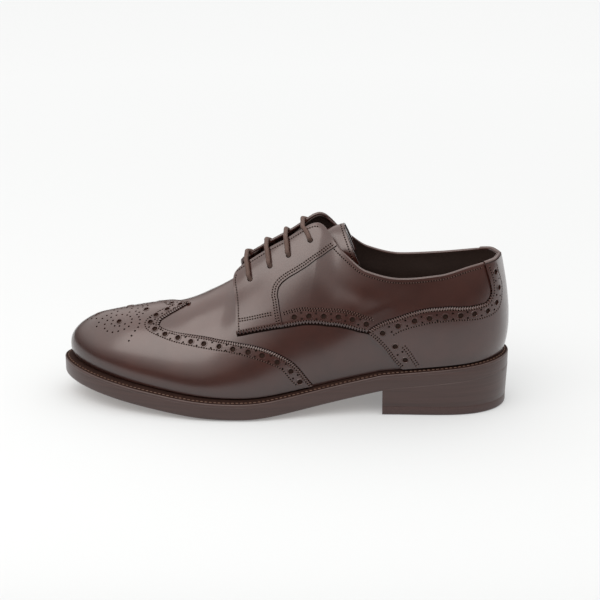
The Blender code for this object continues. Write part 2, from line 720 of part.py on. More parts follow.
def build_lace_bars(material):
    """Four straight lace bars, each from its outer eyelet over the slot to its inner eyelet."""
    depth = TRIM_DEPTH + TRIM + LACE_RADIUS + LACE_CLEAR
    for number, eyelet in enumerate(EYELETS, start=1):
        step = np.linspace(0.0, 1.0, LACE_SIDE_POINTS)
        share = (eyelet.round + (eyelet.edge_round - eyelet.round) * step) / 100.0
        up = (eyelet.up + (100.0 - eyelet.up) * step) / 100.0
        outer = facing_skin(share, up, -1.0, depth)
        inner = facing_skin(share, up, 1.0, depth)[::-1]
        across = np.linspace(0.0, 1.0, LACE_SLOT_POINTS)[1:-1, None]
        arch = LACE_ARCH * 4.0 * across * (1.0 - across)
        bridge = outer[-1] + (inner[0] - outer[-1]) * across + arch * np.array([0.0, 0.0, 1.0])
        route = (np.concatenate([outer, bridge, inner]) - CENTRE) * MM
        curve = bpy.data.curves.new(f"lace_bar_{number}", "CURVE")
        curve.dimensions = "3D"
        curve.bevel_depth = LACE_RADIUS * MM
        curve.bevel_resolution = LACE_ROUND_STEPS
        curve.use_fill_caps = True
        spline = curve.splines.new("POLY")
        spline.points.add(len(route) - 1)
        spline.points.foreach_set("co", np.column_stack([route, np.ones(len(route))]).ravel())
        place_object(f"lace_bar_{number}", curve, material)


def sole_centre():
    """Middle of the sole's outline on the floor, which is the shoe's origin."""
    t = whole_loop(np.linspace(0.0, 1.0, SOLE_COLUMNS))
    edge = plan_outline(t, welt_reach(t))
    middle = 0.5 * (edge.min(axis=0) + edge.max(axis=0))
    return np.append(middle, 0.0)


CENTRE = sole_centre()
SHOE = bpy.data.collections.new("full_brogue_derby")


def main():
    """Build the shoe, piece by piece, from the floor up."""
    clear_scene()
    bpy.context.scene.collection.children.link(SHOE)
    calf = make_material("burnished_calf", (0.075, 0.043, 0.036), 0.38)
    trim_calf = make_material("burnished_calf_trim", (0.068, 0.039, 0.033), 0.40)
    lining = make_material("lining_leather", (0.030, 0.020, 0.018), 0.65)
    sole_edge = make_material("stained_sole_leather", (0.055, 0.034, 0.030), 0.45)
    rubber = make_material("heel_rubber", (0.030, 0.022, 0.020), 0.60)
    cord = make_material("waxed_lace_cotton", (0.050, 0.034, 0.030), 0.60)
    build_outsole(sole_edge)
    build_heel(sole_edge, rubber)
    build_welt(sole_edge)
    build_insole(lining)
    build_upper(calf)
    build_tongue(calf)
    build_wing_cap(trim_calf)
    for name, side in (("outer", -1.0), ("inner", 1.0)):
        build_quarter(f"quarter_{name}", side, calf)
        build_facing(f"facing_{name}", side, trim_calf)
    build_counter(trim_calf)
    build_lace_bars(cord)


main()
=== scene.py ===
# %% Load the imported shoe
import math
from collections import namedtuple

import bpy
import numpy as np
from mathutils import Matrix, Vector


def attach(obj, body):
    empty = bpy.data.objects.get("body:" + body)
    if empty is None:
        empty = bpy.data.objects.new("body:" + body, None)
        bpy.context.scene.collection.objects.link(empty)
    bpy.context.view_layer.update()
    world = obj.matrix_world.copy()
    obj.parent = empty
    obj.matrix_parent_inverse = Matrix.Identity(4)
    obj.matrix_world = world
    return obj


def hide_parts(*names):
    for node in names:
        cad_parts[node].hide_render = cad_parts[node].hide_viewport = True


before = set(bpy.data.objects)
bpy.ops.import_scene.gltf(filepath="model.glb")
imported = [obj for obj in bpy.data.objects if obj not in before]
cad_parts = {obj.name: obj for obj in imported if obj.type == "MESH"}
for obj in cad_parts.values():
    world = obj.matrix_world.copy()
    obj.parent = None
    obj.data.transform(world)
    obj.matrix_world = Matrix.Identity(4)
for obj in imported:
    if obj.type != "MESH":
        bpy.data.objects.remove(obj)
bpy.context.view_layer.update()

# %% [markdown]
# ## The camera, the floor and the light
#
# The shoe stands on a plain pale floor, as in a product photograph. A camera could be placed by eye, but here
# it is worked out from an angle, a height and a distance, so that the view can be repeated. The floor is so
# large that it fills the picture. One wide warm lamp, in front and above, and a sky that brightens towards
# the zenith give the long soft highlights that polished leather needs. A low black card, out of the picture,
# gives the sides of the shoe something dark to reflect.

# %% Camera
MM = 0.001
VIEW_AZIMUTH = 3.0
VIEW_ELEVATION = 18.0
VIEW_DISTANCE = 1.05
VIEW_TARGET = Vector((0.01051, 0.00034, 0.0675))
LENS = 94.26
SENSOR = 36.0


def add_camera():
    """Camera on a sphere round the target, looking at it."""
    a = math.radians(VIEW_AZIMUTH)
    e = math.radians(VIEW_ELEVATION)
    away = Vector((math.sin(a) * math.cos(e), -math.cos(a) * math.cos(e), math.sin(e)))
    camera = bpy.data.objects.new("camera", bpy.data.cameras.new("camera"))
    camera.data.lens = LENS
    camera.data.sensor_width = SENSOR
    camera.location = VIEW_TARGET + VIEW_DISTANCE * away
    camera.rotation_euler = (-away).to_track_quat("-Z", "Y").to_euler()
    bpy.context.scene.collection.objects.link(camera)
    bpy.context.scene.camera = camera


add_camera()
print("camera", VIEW_DISTANCE, "m away")

# %% Floor and card
FLOOR_SIZE = 8.0
FLOOR_GLOW = (0.24, 0.29)
FLOOR_GLOW_REACH = (0.3, 1.3)
FLOOR_SHINE = 0.1
MATT = 0.9
CARD_PLACE = -0.40
CARD_HEIGHT = 0.11
CARD_WIDTH = 4.0


def srgb(code):
    """Linear colour of a hex code such as #4a3833."""
    parts = [int(code[i:i + 2], 16) / 255.0 for i in (1, 3, 5)]
    line = [c / 12.92 if c <= 0.04045 else ((c + 0.055) / 1.055)**2.4 for c in parts]
    return (*line, 1.0)


def add_node(tree, kind, values=(), links=(), **settings):
    """Add a shader node: settings are its options, values its sockets' numbers, links what feeds them."""
    new = tree.nodes.new(kind)
    for name, value in settings.items():
        setattr(new, name, value)
    for socket, value in dict(values).items():
        new.inputs[socket].default_value = value
    for socket, source in dict(links).items():
        tree.links.new(source, new.inputs[socket])
    return new


def matt_sheet(name, corners, material_name, colour):
    """Flat sheet of the studio with a matt material, and its shader."""
    mesh = bpy.data.meshes.new(name)
    mesh.from_pydata(corners, [], [(0, 1, 2, 3)])
    material = bpy.data.materials.new(material_name)
    material.use_nodes = True
    shader = material.node_tree.nodes["Principled BSDF"]
    shader.inputs["Base Color"].default_value = srgb(colour)
    shader.inputs["Roughness"].default_value = MATT
    mesh.materials.append(material)
    sheet = bpy.data.objects.new(name, mesh)
    bpy.context.scene.collection.objects.link(sheet)
    return sheet, shader


def add_floor():
    """Large pale floor, lit a little from below as a light table is, which keeps the shadow short."""
    half = 0.5 * FLOOR_SIZE
    corners = [(-half, -half, 0), (half, -half, 0), (half, half, 0), (-half, half, 0)]
    floor, shader = matt_sheet("floor", corners, "studio_paper", "#b4bbbe")
    shader.inputs["Specular IOR Level"].default_value = FLOOR_SHINE
    shader.inputs["Emission Color"].default_value = srgb("#ffffff")
    tree = shader.id_data
    place = add_node(tree, "ShaderNodeTexCoord").outputs["Object"]
    far = add_node(tree, "ShaderNodeVectorMath", (), {0: place}, operation="LENGTH").outputs["Value"]
    span = dict(zip(("From Min", "From Max", "To Min", "To Max"), FLOOR_GLOW_REACH + FLOOR_GLOW))
    glow = add_node(tree, "ShaderNodeMapRange", span, {"Value": far}).outputs["Result"]
    tree.links.new(glow, shader.inputs["Emission Strength"])


def add_card():
    """Black card that stands in front of the shoe, out of the picture, and darkens what its sides reflect."""
    x = 0.5 * CARD_WIDTH
    y = CARD_PLACE
    corners = [(-x, y, 0), (x, y, 0), (x, y, CARD_HEIGHT), (-x, y, CARD_HEIGHT)]
    card, _ = matt_sheet("card", corners, "black_card", "#161616")
    card.visible_camera = False


add_floor()
add_card()
print("floor of", FLOOR_SIZE, "m and a card", CARD_HEIGHT, "m high")

# %% Light
LAMP_PLACE = Vector((-0.45, -0.75, 1.05))
LAMP_AIM = Vector((0.0, 0.0, 0.05))
LAMP_SIZE = (1.3, 0.9)
LAMP_POWER = 7.5
LAMP_TINT = (1.0, 0.915, 0.865)
SKY_TINT = (1.0, 0.928, 0.89, 1.0)
SKY_LOW = 0.105
SKY_HIGH = 1.62
SKY_START = 0.05
SKY_FULL = 0.70


def add_lights():
    """Soft area lamp and a sky that is bright overhead and dim at the horizon."""
    data = bpy.data.lights.new("front_top", "AREA")
    data.shape = "RECTANGLE"
    data.size, data.size_y = LAMP_SIZE
    data.energy = LAMP_POWER
    data.color = LAMP_TINT
    lamp = bpy.data.objects.new("front_top", data)
    lamp.location = LAMP_PLACE
    lamp.rotation_euler = (LAMP_AIM - LAMP_PLACE).to_track_quat("-Z", "Y").to_euler()
    bpy.context.scene.collection.objects.link(lamp)
    world = bpy.data.worlds.new("studio")
    world.use_nodes = True
    tree = world.node_tree
    look = add_node(tree, "ShaderNodeTexCoord").outputs["Generated"]
    height = add_node(tree, "ShaderNodeSeparateXYZ", {}, {"Vector": look}).outputs["Z"]
    level = add_node(
        tree, "ShaderNodeMapRange",
        {"From Min": SKY_START, "From Max": SKY_FULL, "To Min": SKY_LOW, "To Max": SKY_HIGH},
        {"Value": height}, interpolation_type="SMOOTHSTEP",
    ).outputs["Result"]
    tree.nodes["Background"].inputs["Color"].default_value = SKY_TINT
    tree.links.new(level, tree.nodes["Background"].inputs["Strength"])
    bpy.context.scene.world = world
    bpy.context.scene.view_settings.view_transform = "Standard"


add_lights()
print("lamp of", LAMP_POWER, "W and the sky")

# %% [markdown]
# ## The lasted form
#
# A shoe is made by pulling leather over a last, a wooden form of the foot. Its form is described here as the
# maker describes it: a feather line where the upper meets the welt, a top line along the collar and the ridge
# of the instep, and a rib between the two at every place round the shoe. A place on the leather is then two
# numbers: round, from the heel to the toe, and rise, from the welt to the top. A scan or a sculpted mesh would
# also give a form, but on this one every seam, hole and stitch can be put where its numbers say.

# %% Tables of the last
LAST_LENGTH = 292.0
BALL_WIDTH = 92.0
HEEL_BACK_X = 146.0
OUTSOLE_THICK = 8.8
WELT_THICK = 3.6
TOE_SPRING = 14.5
BEND_ROUND = 0.16
TOE_CURVE = 1.25
WAIST_CURVE = 1.15
HEEL_BREAST_X = 64.0
HEEL_BREAST_HEIGHT = 16.8
HEEL_BACK_HEIGHT = 25.0
TREAD_FRONT_X = -44.0
TREAD_BACK_X = -20.0
RIDGE_FADE = 8.0
FIT_GAP = 0.3
CENTRE = np.array([-2.51, -0.339, 0.0])
RIDGE_ROUND = (0.2, 0.4)
SLOT_FRONT_X = -24.0
SLOT_NOSE = 9.0
SLOT_FRONT_HALF = 8.7
SLOT_SPREAD = 0.02
SLOT_END_ROUND = (0.36, 0.44)
EDGE_BLEND = 4.0
EDGE_STEPS = 241
EDGE_LOWEST = 0.4
EDGE_SLACK = 0.02
TAB_LIFT = 6.5
TAB_LIFT_ROUND = (0.50, 0.645)
TAB_LIFT_RISE = (0.50, 0.85)

# The feather line, where the upper meets the welt, seen from above: how far each station lies along the
# last in percent of its length, and how far out on each side in percent of the ball width. The wall then
# rises towards a point that stands out by the bulge.
Feather = namedtuple("Feather", "station along outer inner wall bulge_outer bulge_inner welt")
FEATHER_ROWS = [
    Feather("heel back", 1.0, 0.0, 0.0, 17.0, 5.6, 5.6, 4.4),
    Feather("heel corner", 3.2, 18.6, 18.6, 18.0, 5.2, 5.2, 4.2),
    Feather("heel round", 8.0, 29.7, 29.1, 20.0, 4.5, 4.5, 3.6),
    Feather("heel wide", 15.6, 34.2, 33.2, 22.0, 3.8, 3.8, 3.2),
    Feather("heel front", 25.9, 34.8, 30.4, 24.0, 4.0, 6.5, 3.2),
    Feather("waist", 34.7, 36.6, 28.3, 26.0, 4.0, 9.0, 3.6),
    Feather("fore waist", 42.2, 40.2, 29.1, 26.0, 4.0, 9.5, 4.0),
    Feather("shank", 49.0, 45.1, 32.6, 25.0, 4.0, 8.0, 4.6),
    Feather("outer ball", 57.8, 50.3, 41.8, 22.0, 4.0, 5.0, 5.3),
    Feather("tread", 62.9, 50.7, 45.6, 20.5, 4.0, 4.5, 5.5),
    Feather("inner ball", 68.0, 50.0, 48.9, 19.0, 4.0, 4.0, 5.8),
    Feather("fore ball", 78.2, 43.5, 47.3, 17.0, 3.5, 3.5, 6.2),
    Feather("toe side", 87.1, 34.6, 41.0, 15.5, 4.0, 4.0, 6.5),
    Feather("toe round", 93.9, 23.0, 30.6, 13.5, 5.5, 5.5, 6.5),
    Feather("toe corner", 98.1, 10.4, 18.6, 12.5, 6.6, 6.6, 6.5),
    Feather("toe tip", 100.0, -4.3, 4.3, 12.5, 7.0, 7.0, 6.5),
]

# The top line of the lasted form: the collar from the heel to the instep, then the ridge of the instep and
# vamp down to the toe. Along is in percent of the last, centre and half in percent of the ball width; the
# heights are above the floor. The wall reaches this line from a point that lies out and below it.
Top = namedtuple("Top", "station along centre half height_outer height_inner out drop")
TOP_ROWS = [
    Top("heel back", 2.3, 0.0, 0.0, 102.0, 102.0, 5.0, 22.0),
    Top("heel corner", 3.8, 0.0, 15.8, 102.0, 101.0, 5.0, 22.0),
    Top("heel round", 8.5, 0.0, 26.6, 100.0, 97.5, 5.0, 22.0),
    Top("heel wide", 16.0, 0.0, 31.5, 94.3, 94.0, 4.0, 22.0),
    Top("heel front", 24.5, 0.0, 32.6, 92.0, 92.5, 4.0, 22.0),
    Top("waist", 32.0, 0.0, 29.9, 96.0, 97.8, 5.0, 20.0),
    Top("fore waist", 37.4, 0.0, 21.7, 107.0, 110.5, 7.0, 16.0),
    Top("shank", 43.6, 0.0, 6.0, 125.6, 127.6, 16.0, 4.0),
    Top("outer ball", 50.5, 0.0, 0.0, 112.0, 112.0, 20.0, 0.0),
    Top("tread", 56.5, 0.2, 0.0, 97.0, 97.0, 20.0, 0.0),
    Top("inner ball", 62.6, 0.5, 0.0, 82.5, 82.5, 18.0, 0.0),
    Top("fore ball", 74.1, 1.5, 0.0, 66.1, 66.1, 24.0, 0.0),
    Top("toe side", 82.7, 3.2, 0.0, 61.2, 61.2, 23.0, 0.0),
    Top("toe round", 88.8, 4.2, 0.0, 57.8, 57.8, 18.0, 0.0),
    Top("toe corner", 92.2, 4.3, 0.0, 55.8, 55.8, 15.0, 0.0),
    Top("toe tip", 93.5, 4.3, 0.0, 54.6, 54.6, 14.0, 0.0),
]

# Seams on the lasted form. Round is how far a place lies from the heel to the toe, rise how far up its rib,
# and up how far between the two edges of a quarter, all in percent.
WING_EDGE = [  # rise, round
    (0.0, 43.0), (12.0, 45.5), (19.5, 47.9), (26.8, 52.1), (31.5, 55.7), (40.0, 62.1), (50.6, 68.7),
    (56.3, 71.7), (62.4, 74.9), (67.0, 76.8), (72.0, 77.6), (77.0, 77.6), (84.0, 76.7), (91.1, 75.3),
    (97.0, 73.9), (100.0, 73.0),
]
QUARTER_FOOT = [  # round, rise
    (0.0, 2.0), (24.0, 2.0), (27.0, 18.0), (30.0, 33.0), (33.2, 41.2), (35.0, 42.6), (37.0, 44.2),
    (38.6, 44.6), (40.4, 44.3), (42.0, 43.5), (43.6, 42.2), (45.0, 40.5), (46.4, 39.0), (48.0, 38.2),
    (49.6, 38.0), (51.2, 38.1), (52.8, 38.5), (55.8, 39.7), (58.6, 41.1), (62.0, 43.0), (66.0, 45.0),
]
QUARTER_FRONT = [  # up, round
    (0.0, 61.5), (21.0, 62.4), (50.0, 63.2), (65.0, 63.5), (82.0, 63.8), (92.0, 63.7), (97.0, 63.4),
    (100.0, 62.8),
]
FACING_REAR = [  # up, round
    (0.0, 52.0), (3.4, 52.4), (16.8, 53.7), (27.5, 54.6), (33.2, 55.1), (39.2, 55.2), (43.7, 54.7),
    (46.4, 53.3), (48.2, 51.0), (51.2, 48.8), (60.5, 46.4), (75.0, 45.0), (88.0, 44.15), (100.0, 43.5),
]
Counter = namedtuple("Counter", "place foot_round top_round top_rise")
COUNTER_ROWS = [
    Counter("leg foot", 25.2, 25.4, 1.6),
    Counter("leg low", 25.0, 26.9, 9.0),
    Counter("leg middle", 24.8, 29.0, 22.8),
    Counter("leg high", 24.5, 31.3, 34.6),
    Counter("front peak", 24.2, 33.3, 43.0),
    Counter("shoulder", 23.6, 31.6, 50.8),
    Counter("rising edge", 22.7, 29.2, 57.2),
    Counter("high edge", 21.7, 27.0, 61.4),
    Counter("bend", 20.4, 25.1, 64.6),
    Counter("crest", 17.9, 21.5, 68.2),
    Counter("crown", 16.5, 19.6, 68.7),
    Counter("side", 14.6, 16.3, 67.8),
    Counter("fall", 12.7, 13.7, 64.3),
    Counter("dip", 11.0, 11.4, 62.6),
    Counter("turn", 9.2, 9.3, 62.8),
    Counter("strip foot", 8.2, 8.1, 67.2),
    Counter("strip waist", 7.3, 7.7, 73.5),
    Counter("strip side", 6.3, 7.7, 80.0),
    Counter("strip top", 5.3, 8.1, 89.0),
    Counter("strip corner", 4.3, 8.7, 99.0),
    Counter("strip half", 2.2, 4.35, 99.0),
    Counter("back seam", 0.0, 0.0, 99.0),
]
Eyelet = namedtuple("Eyelet", "round up edge_round")
EYELETS = [
    Eyelet(60.8, 67.2, 61.6),
    Eyelet(57.7, 70.3, 58.5),
    Eyelet(54.2, 72.0, 55.2),
    Eyelet(49.3, 77.2, 51.3),
]

print(len(FEATHER_ROWS), "stations from heel to toe")

# %% Splines round the shoe


def unit(vectors):
    """Each vector divided by its own length."""
    return vectors / np.linalg.norm(vectors, axis=-1, keepdims=True)


def distance_along(points):
    """Distance from the first point to each of the others, as the sum of the straight steps between them."""
    return np.concatenate([[0.0], np.cumsum(np.linalg.norm(np.diff(points, axis=0), axis=1))])


def closed_spline(knots, values):
    """Cubic spline with an even bend through values on a loop whose length is 1."""
    knots = np.asarray(knots)
    values = np.asarray(values)
    count = len(knots)
    gap = np.diff(np.append(knots, knots[0] + 1.0))
    slope = (np.roll(values, -1) - values) / gap
    row = np.arange(count)
    system = np.zeros((count, count))
    system[row, row] = 2.0 * (gap + np.roll(gap, 1))
    system[row, (row + 1) % count] += gap
    system[row, (row - 1) % count] += np.roll(gap, 1)
    bend = np.linalg.solve(system, 6.0 * (slope - np.roll(slope, 1)))

    def at(t):
        t = np.mod(t, 1.0)
        i = np.searchsorted(knots, t, side="right") - 1
        j = (i + 1) % count
        a = (t - knots[i]) / gap[i]
        b = 1.0 - a
        curve = (b**3 - b) * bend[i] + (a**3 - a) * bend[j]
        return b * values[i] + a * values[j] + curve * gap[i]**2 / 6.0

    return at


def steady_spline(knots, values):
    """Cubic spline on the same loop that never swings past its own values."""
    knots = np.asarray(knots)
    values = np.asarray(values)
    count = len(knots)
    gap = np.diff(np.append(knots, knots[0] + 1.0))
    ahead = (np.roll(values, -1) - values) / gap
    behind = np.roll(ahead, 1)
    same_way = ahead * behind > 0.0
    total = np.where(same_way, ahead + behind, 1.0)
    slope = np.where(same_way, 2.0 * ahead * behind / total, 0.0)

    def at(t):
        t = np.mod(t, 1.0)
        i = np.searchsorted(knots, t, side="right") - 1
        j = (i + 1) % count
        a = (t - knots[i]) / gap[i]
        start = values[i] * (1.0 + 2.0 * a) * (1.0 - a)**2 + values[j] * a**2 * (3.0 - 2.0 * a)
        return start + gap[i] * a * (1.0 - a) * (slope[i] * (1.0 - a) - slope[j] * a)

    return at


print("splines with an even bend and splines that never swing past their values")

# %% Lines round the shoe


def column(rows, name):
    """One named column of a table as an array."""
    return np.array([getattr(row, name) for row in rows])


def last_x(along):
    """Place along the shoe of a share of the last, counted from the heel."""
    return HEEL_BACK_X - along * LAST_LENGTH / 100.0


def last_y(share):
    """Distance across the shoe of a share of the ball width."""
    return share * BALL_WIDTH / 100.0


def around(outer, inner):
    """Join the outer side from heel to toe and the inner side from toe to heel into one loop."""
    return np.concatenate([outer, inner[-2:0:-1]])


def station_shares():
    """Place of each station between heel and toe, by the mean length of the two feather lines."""
    x = last_x(column(FEATHER_ROWS, "along"))
    outer = np.hypot(np.diff(x), np.diff(last_y(column(FEATHER_ROWS, "outer"))))
    inner = np.hypot(np.diff(x), np.diff(last_y(column(FEATHER_ROWS, "inner"))))
    run = np.concatenate([[0.0], np.cumsum(0.5 * (outer + inner))])
    return run / run[-1]


SHARES = station_shares()
KNOTS = around(0.5 * SHARES, 1.0 - 0.5 * SHARES)


def loop_spline(rows, outer, inner, kind=closed_spline):
    """Spline round the shoe through one column for the outer side and one for the inner."""
    return kind(KNOTS, around(column(rows, outer), column(rows, inner)))


feather_along = loop_spline(FEATHER_ROWS, "along", "along")
feather_across = closed_spline(KNOTS, around(-column(FEATHER_ROWS, "outer"), column(FEATHER_ROWS, "inner")))
wall_rise = loop_spline(FEATHER_ROWS, "wall", "wall")
wall_bulge = loop_spline(FEATHER_ROWS, "bulge_outer", "bulge_inner")
welt_reach = loop_spline(FEATHER_ROWS, "welt", "welt")
top_along = loop_spline(TOP_ROWS, "along", "along", steady_spline)
top_centre = loop_spline(TOP_ROWS, "centre", "centre", steady_spline)
top_half = loop_spline(TOP_ROWS, "half", "half", steady_spline)
top_height = loop_spline(TOP_ROWS, "height_outer", "height_inner", steady_spline)
crown_out = loop_spline(TOP_ROWS, "out", "out", steady_spline)
crown_drop = loop_spline(TOP_ROWS, "drop", "drop", steady_spline)
print(len(KNOTS), "knots round the shoe")

# %% Points of the lasted form


def share_of(t):
    """How far from heel to toe a place on the loop lies."""
    return 1.0 - np.abs(1.0 - 2.0 * np.mod(t, 1.0))


def side_of(t):
    """Minus one on the outer side of the loop, plus one on the inner side."""
    return np.where(np.mod(t, 1.0) <= 0.5, -1.0, 1.0)


def rounded(number):
    """Nought below nought and the number itself above, with the corner between them rounded off."""
    return 0.5 * (number + np.hypot(number, BEND_ROUND))


def smooth_step(value, low, high):
    """Rise from nought to one between low and high, level at both ends."""
    share = np.clip((value - low) / (high - low), 0.0, 1.0)
    return share * share * (3.0 - 2.0 * share)


def bottom_height(x):
    """Height of the outsole's underside: toe spring, flat tread, rising waist, straight heel seat."""
    toe_x = last_x(100.0) - FEATHER_ROWS[-1].welt
    toe = rounded((TREAD_FRONT_X - x) / (TREAD_FRONT_X - toe_x))
    waist = np.minimum(rounded((x - TREAD_BACK_X) / (HEEL_BREAST_X - TREAD_BACK_X)), 1.0)
    heel = np.clip(x - HEEL_BREAST_X, 0.0, None) / (HEEL_BACK_X - HEEL_BREAST_X)
    rise = HEEL_BACK_HEIGHT - HEEL_BREAST_HEIGHT
    return TOE_SPRING * toe**TOE_CURVE + HEEL_BREAST_HEIGHT * waist**WAIST_CURVE + rise * heel


def plan_normal(t):
    """Outward direction of the feather line, seen from above."""
    step = 1e-4
    dx = last_x(feather_along(t + step)) - last_x(feather_along(t - step))
    dy = last_y(feather_across(t + step) - feather_across(t - step))
    length = np.hypot(dx, dy)
    return -dy / length, dx / length


def feather(t):
    """Feather line on the loop."""
    x = last_x(feather_along(t))
    y = last_y(feather_across(t))
    z = bottom_height(x) + OUTSOLE_THICK + WELT_THICK + 2.0 * FIT_GAP
    return np.stack([x, y, z], axis=-1)


def top_line(t):
    """Collar and ridge on the loop."""
    x = last_x(top_along(t))
    y = last_y(top_centre(t) + side_of(t) * top_half(t))
    return np.stack([x, y, top_height(t)], axis=-1)


def ridge_slope(t):
    """Rise of the vamp's ridge for each millimetre towards the heel."""
    step = 0.02
    share = np.minimum(share_of(t), 1.0)
    front = 0.5 * share
    back = 0.5 * (share - step)
    run = last_x(top_along(front)) - last_x(top_along(back))
    return (top_height(front) - top_height(back)) / np.where(np.abs(run) < 1e-6, 1e-6, run)


def surface(t, v):
    """Point of the lasted form: a rib is a cubic Bezier from the feather line up to the top line."""
    nx, ny = plan_normal(t)
    foot = feather(t)
    top = top_line(t)
    out = np.stack([nx, ny, np.zeros_like(nx)], axis=-1)
    up = np.array([0.0, 0.0, 1.0])
    wall = foot + wall_bulge(t)[..., None] * out + wall_rise(t)[..., None] * up
    on_ridge = np.clip(1.0 - top_half(t) / RIDGE_FADE, 0.0, 1.0) * smooth_step(share_of(t), *RIDGE_ROUND)
    lean = crown_out(t) * nx * ridge_slope(t) * on_ridge - crown_drop(t)
    crown = top + crown_out(t)[..., None] * out + lean[..., None] * up
    w = v[..., None]
    u = 1.0 - w
    return u**3 * foot + 3.0 * u**2 * w * wall + 3.0 * u * w**2 * crown + w**3 * top


def side_normal(t, v):
    """Unit normal of the lasted form, measured on one side of the ridge."""
    step = 1e-3
    near_top = np.minimum(v, 1.0 - 4.0 * step)
    rise = surface(t, np.clip(v + step, 0.0, 1.0)) - surface(t, np.clip(v - step, 0.0, 1.0))
    run = surface(t + step, near_top) - surface(t - step, near_top)
    return unit(np.cross(rise, run))


def outward(t, v):
    """Unit normal of the lasted form, shared by both sides where they meet on the ridge."""
    own = side_normal(t, v)
    both = unit(own + side_normal(1.0 - t, v))
    on_ridge = (v > 0.999) & (top_half(t) < 1e-6)
    return np.where(on_ridge[..., None], both, own)


def skin(t, v, depth):
    """Point at a depth outside the lasted form."""
    return surface(t, v) + np.broadcast_to(depth, t.shape)[..., None] * outward(t, v)


def through(points, at):
    """Smooth curve through a short table of two columns, steady between its rows."""
    place, value = np.array(points).T
    ahead = np.diff(value) / np.diff(place)
    same_way = ahead[1:] * ahead[:-1] > 0.0
    total = np.where(same_way, ahead[1:] + ahead[:-1], 1.0)
    inside = np.where(same_way, 2.0 * ahead[1:] * ahead[:-1] / total, 0.0)
    slope = np.concatenate([ahead[:1], inside, ahead[-1:]])
    at = np.clip(at, place[0], place[-1])
    i = np.clip(np.searchsorted(place, at, side="right") - 1, 0, len(place) - 2)
    gap = place[i + 1] - place[i]
    a = (at - place[i]) / gap
    level = value[i] * (1.0 + 2.0 * a) * (1.0 - a)**2 + value[i + 1] * a**2 * (3.0 - 2.0 * a)
    return level + gap * a * (1.0 - a) * (slope[i] * (1.0 - a) - slope[i + 1] * a)


print("lasted form", LAST_LENGTH, "mm long and", BALL_WIDTH, "mm wide at the ball")

# %% Collar, slot and outline


def slot_half(t, nose):
    """Half width of the lacing slot, widening to the instep; its round nose is in the upper alone."""
    on_top = last_x(top_along(t))
    width = SLOT_FRONT_HALF + SLOT_SPREAD * np.clip(on_top - SLOT_FRONT_X, 0.0, None)
    if nose:
        into = np.clip((on_top - SLOT_FRONT_X) / SLOT_NOSE, 0.0, 1.0)
        width = width * np.sqrt(1.0 - (1.0 - into)**2)
    return width * smooth_step(share_of(t), *SLOT_END_ROUND)


def edge_rise(t, nose=False):
    """Height up the rib of the collar and of the slot's edge."""
    collar = last_y(top_half(t))
    slot = slot_half(t, nose)
    edge = (collar**EDGE_BLEND + slot**EDGE_BLEND)**(1.0 / EDGE_BLEND)
    v = np.linspace(1.0, EDGE_LOWEST, EDGE_STEPS)
    ribs = surface(np.repeat(t[:, None], EDGE_STEPS, axis=1), np.tile(v, (len(t), 1)))
    away = np.abs(ribs[..., 1] - last_y(top_centre(t))[:, None])
    past = away > edge[:, None]
    first = np.argmax(past, axis=1)
    row = np.arange(len(t))
    before = np.maximum(first - 1, 0)
    span = away[row, first] - away[row, before]
    share = np.where(span > 1e-9, (edge - away[row, before]) / np.where(span > 1e-9, span, 1.0), 0.0)
    found = v[before] + np.clip(share, 0.0, 1.0) * (v[first] - v[before])
    return np.where(edge <= collar + EDGE_SLACK, 1.0, found)


def tab_lift(t, v):
    """How far the front of a quarter stands off the vamp under its lacing."""
    return TAB_LIFT * smooth_step(share_of(t), *TAB_LIFT_ROUND) * smooth_step(v, *TAB_LIFT_RISE)


def loop_place(share, side):
    """Place on the loop of a share of the way from heel to toe, on the outer (-1) or inner (+1) side."""
    return np.where(side < 0, 0.5 * share, 1.0 - 0.5 * share)


def plan_outline(t, reach):
    """Outline seen from above, at a reach outside the feather line."""
    foot = feather(t)
    nx, ny = plan_normal(t)
    return np.stack([foot[..., 0] + reach * nx, foot[..., 1] + reach * ny], axis=-1)


EDGE_SHARES = np.linspace(0.0, 1.0, 601)
EDGE_TABLE = {
    (side, nose): edge_rise(loop_place(EDGE_SHARES, side), nose)
    for side in (-1.0, 1.0) for nose in (False, True)
}


def edge_at(share, side, nose=False):
    """Height of the collar and slot edge, read from a table that is worked out once."""
    return np.interp(share, EDGE_SHARES, EDGE_TABLE[side, nose])


def quarter_place(share, up, side):
    """Place on the loop and rise on the rib, from a quarter's own two directions."""
    foot = through(QUARTER_FOOT, 100.0 * share) / 100.0
    return loop_place(share, side), foot + (edge_at(share, side) - foot) * up


print("last ready: collar height at the heel", top_line(np.array([0.0]))[0, 2], "mm")

# %% [markdown]
# ## Layers, creases and paths
#
# The leathers lie on each other, so each has an inner and an outer depth, measured from the lasted form. The
# quarters also stand off the vamp where they are laced, and a few soft creases run through all the layers at
# once. Seams, rows of holes and rows of stitches are all paths on a layer, drawn through a few places or set
# at an even distance inside an edge, as a maker marks them with a wing divider.

# %% Layers, creases and paths
Layer = namedtuple("Layer", "inner outer lifted")
VAMP = Layer(-3.3, -0.9, False)
WING = Layer(-1.0, 0.4, False)
QUARTER = Layer(-1.0, 0.25, True)
FACING = Layer(0.15, 1.35, True)
COUNTER = Layer(0.15, 1.35, True)
SIDES = (("outer", -1.0), ("inner", 1.0))
ROUND_MM = 330.0
RISE_MM = 85.0
FOLD_ROUND = 0.64
DRAWN_STEPS = 20

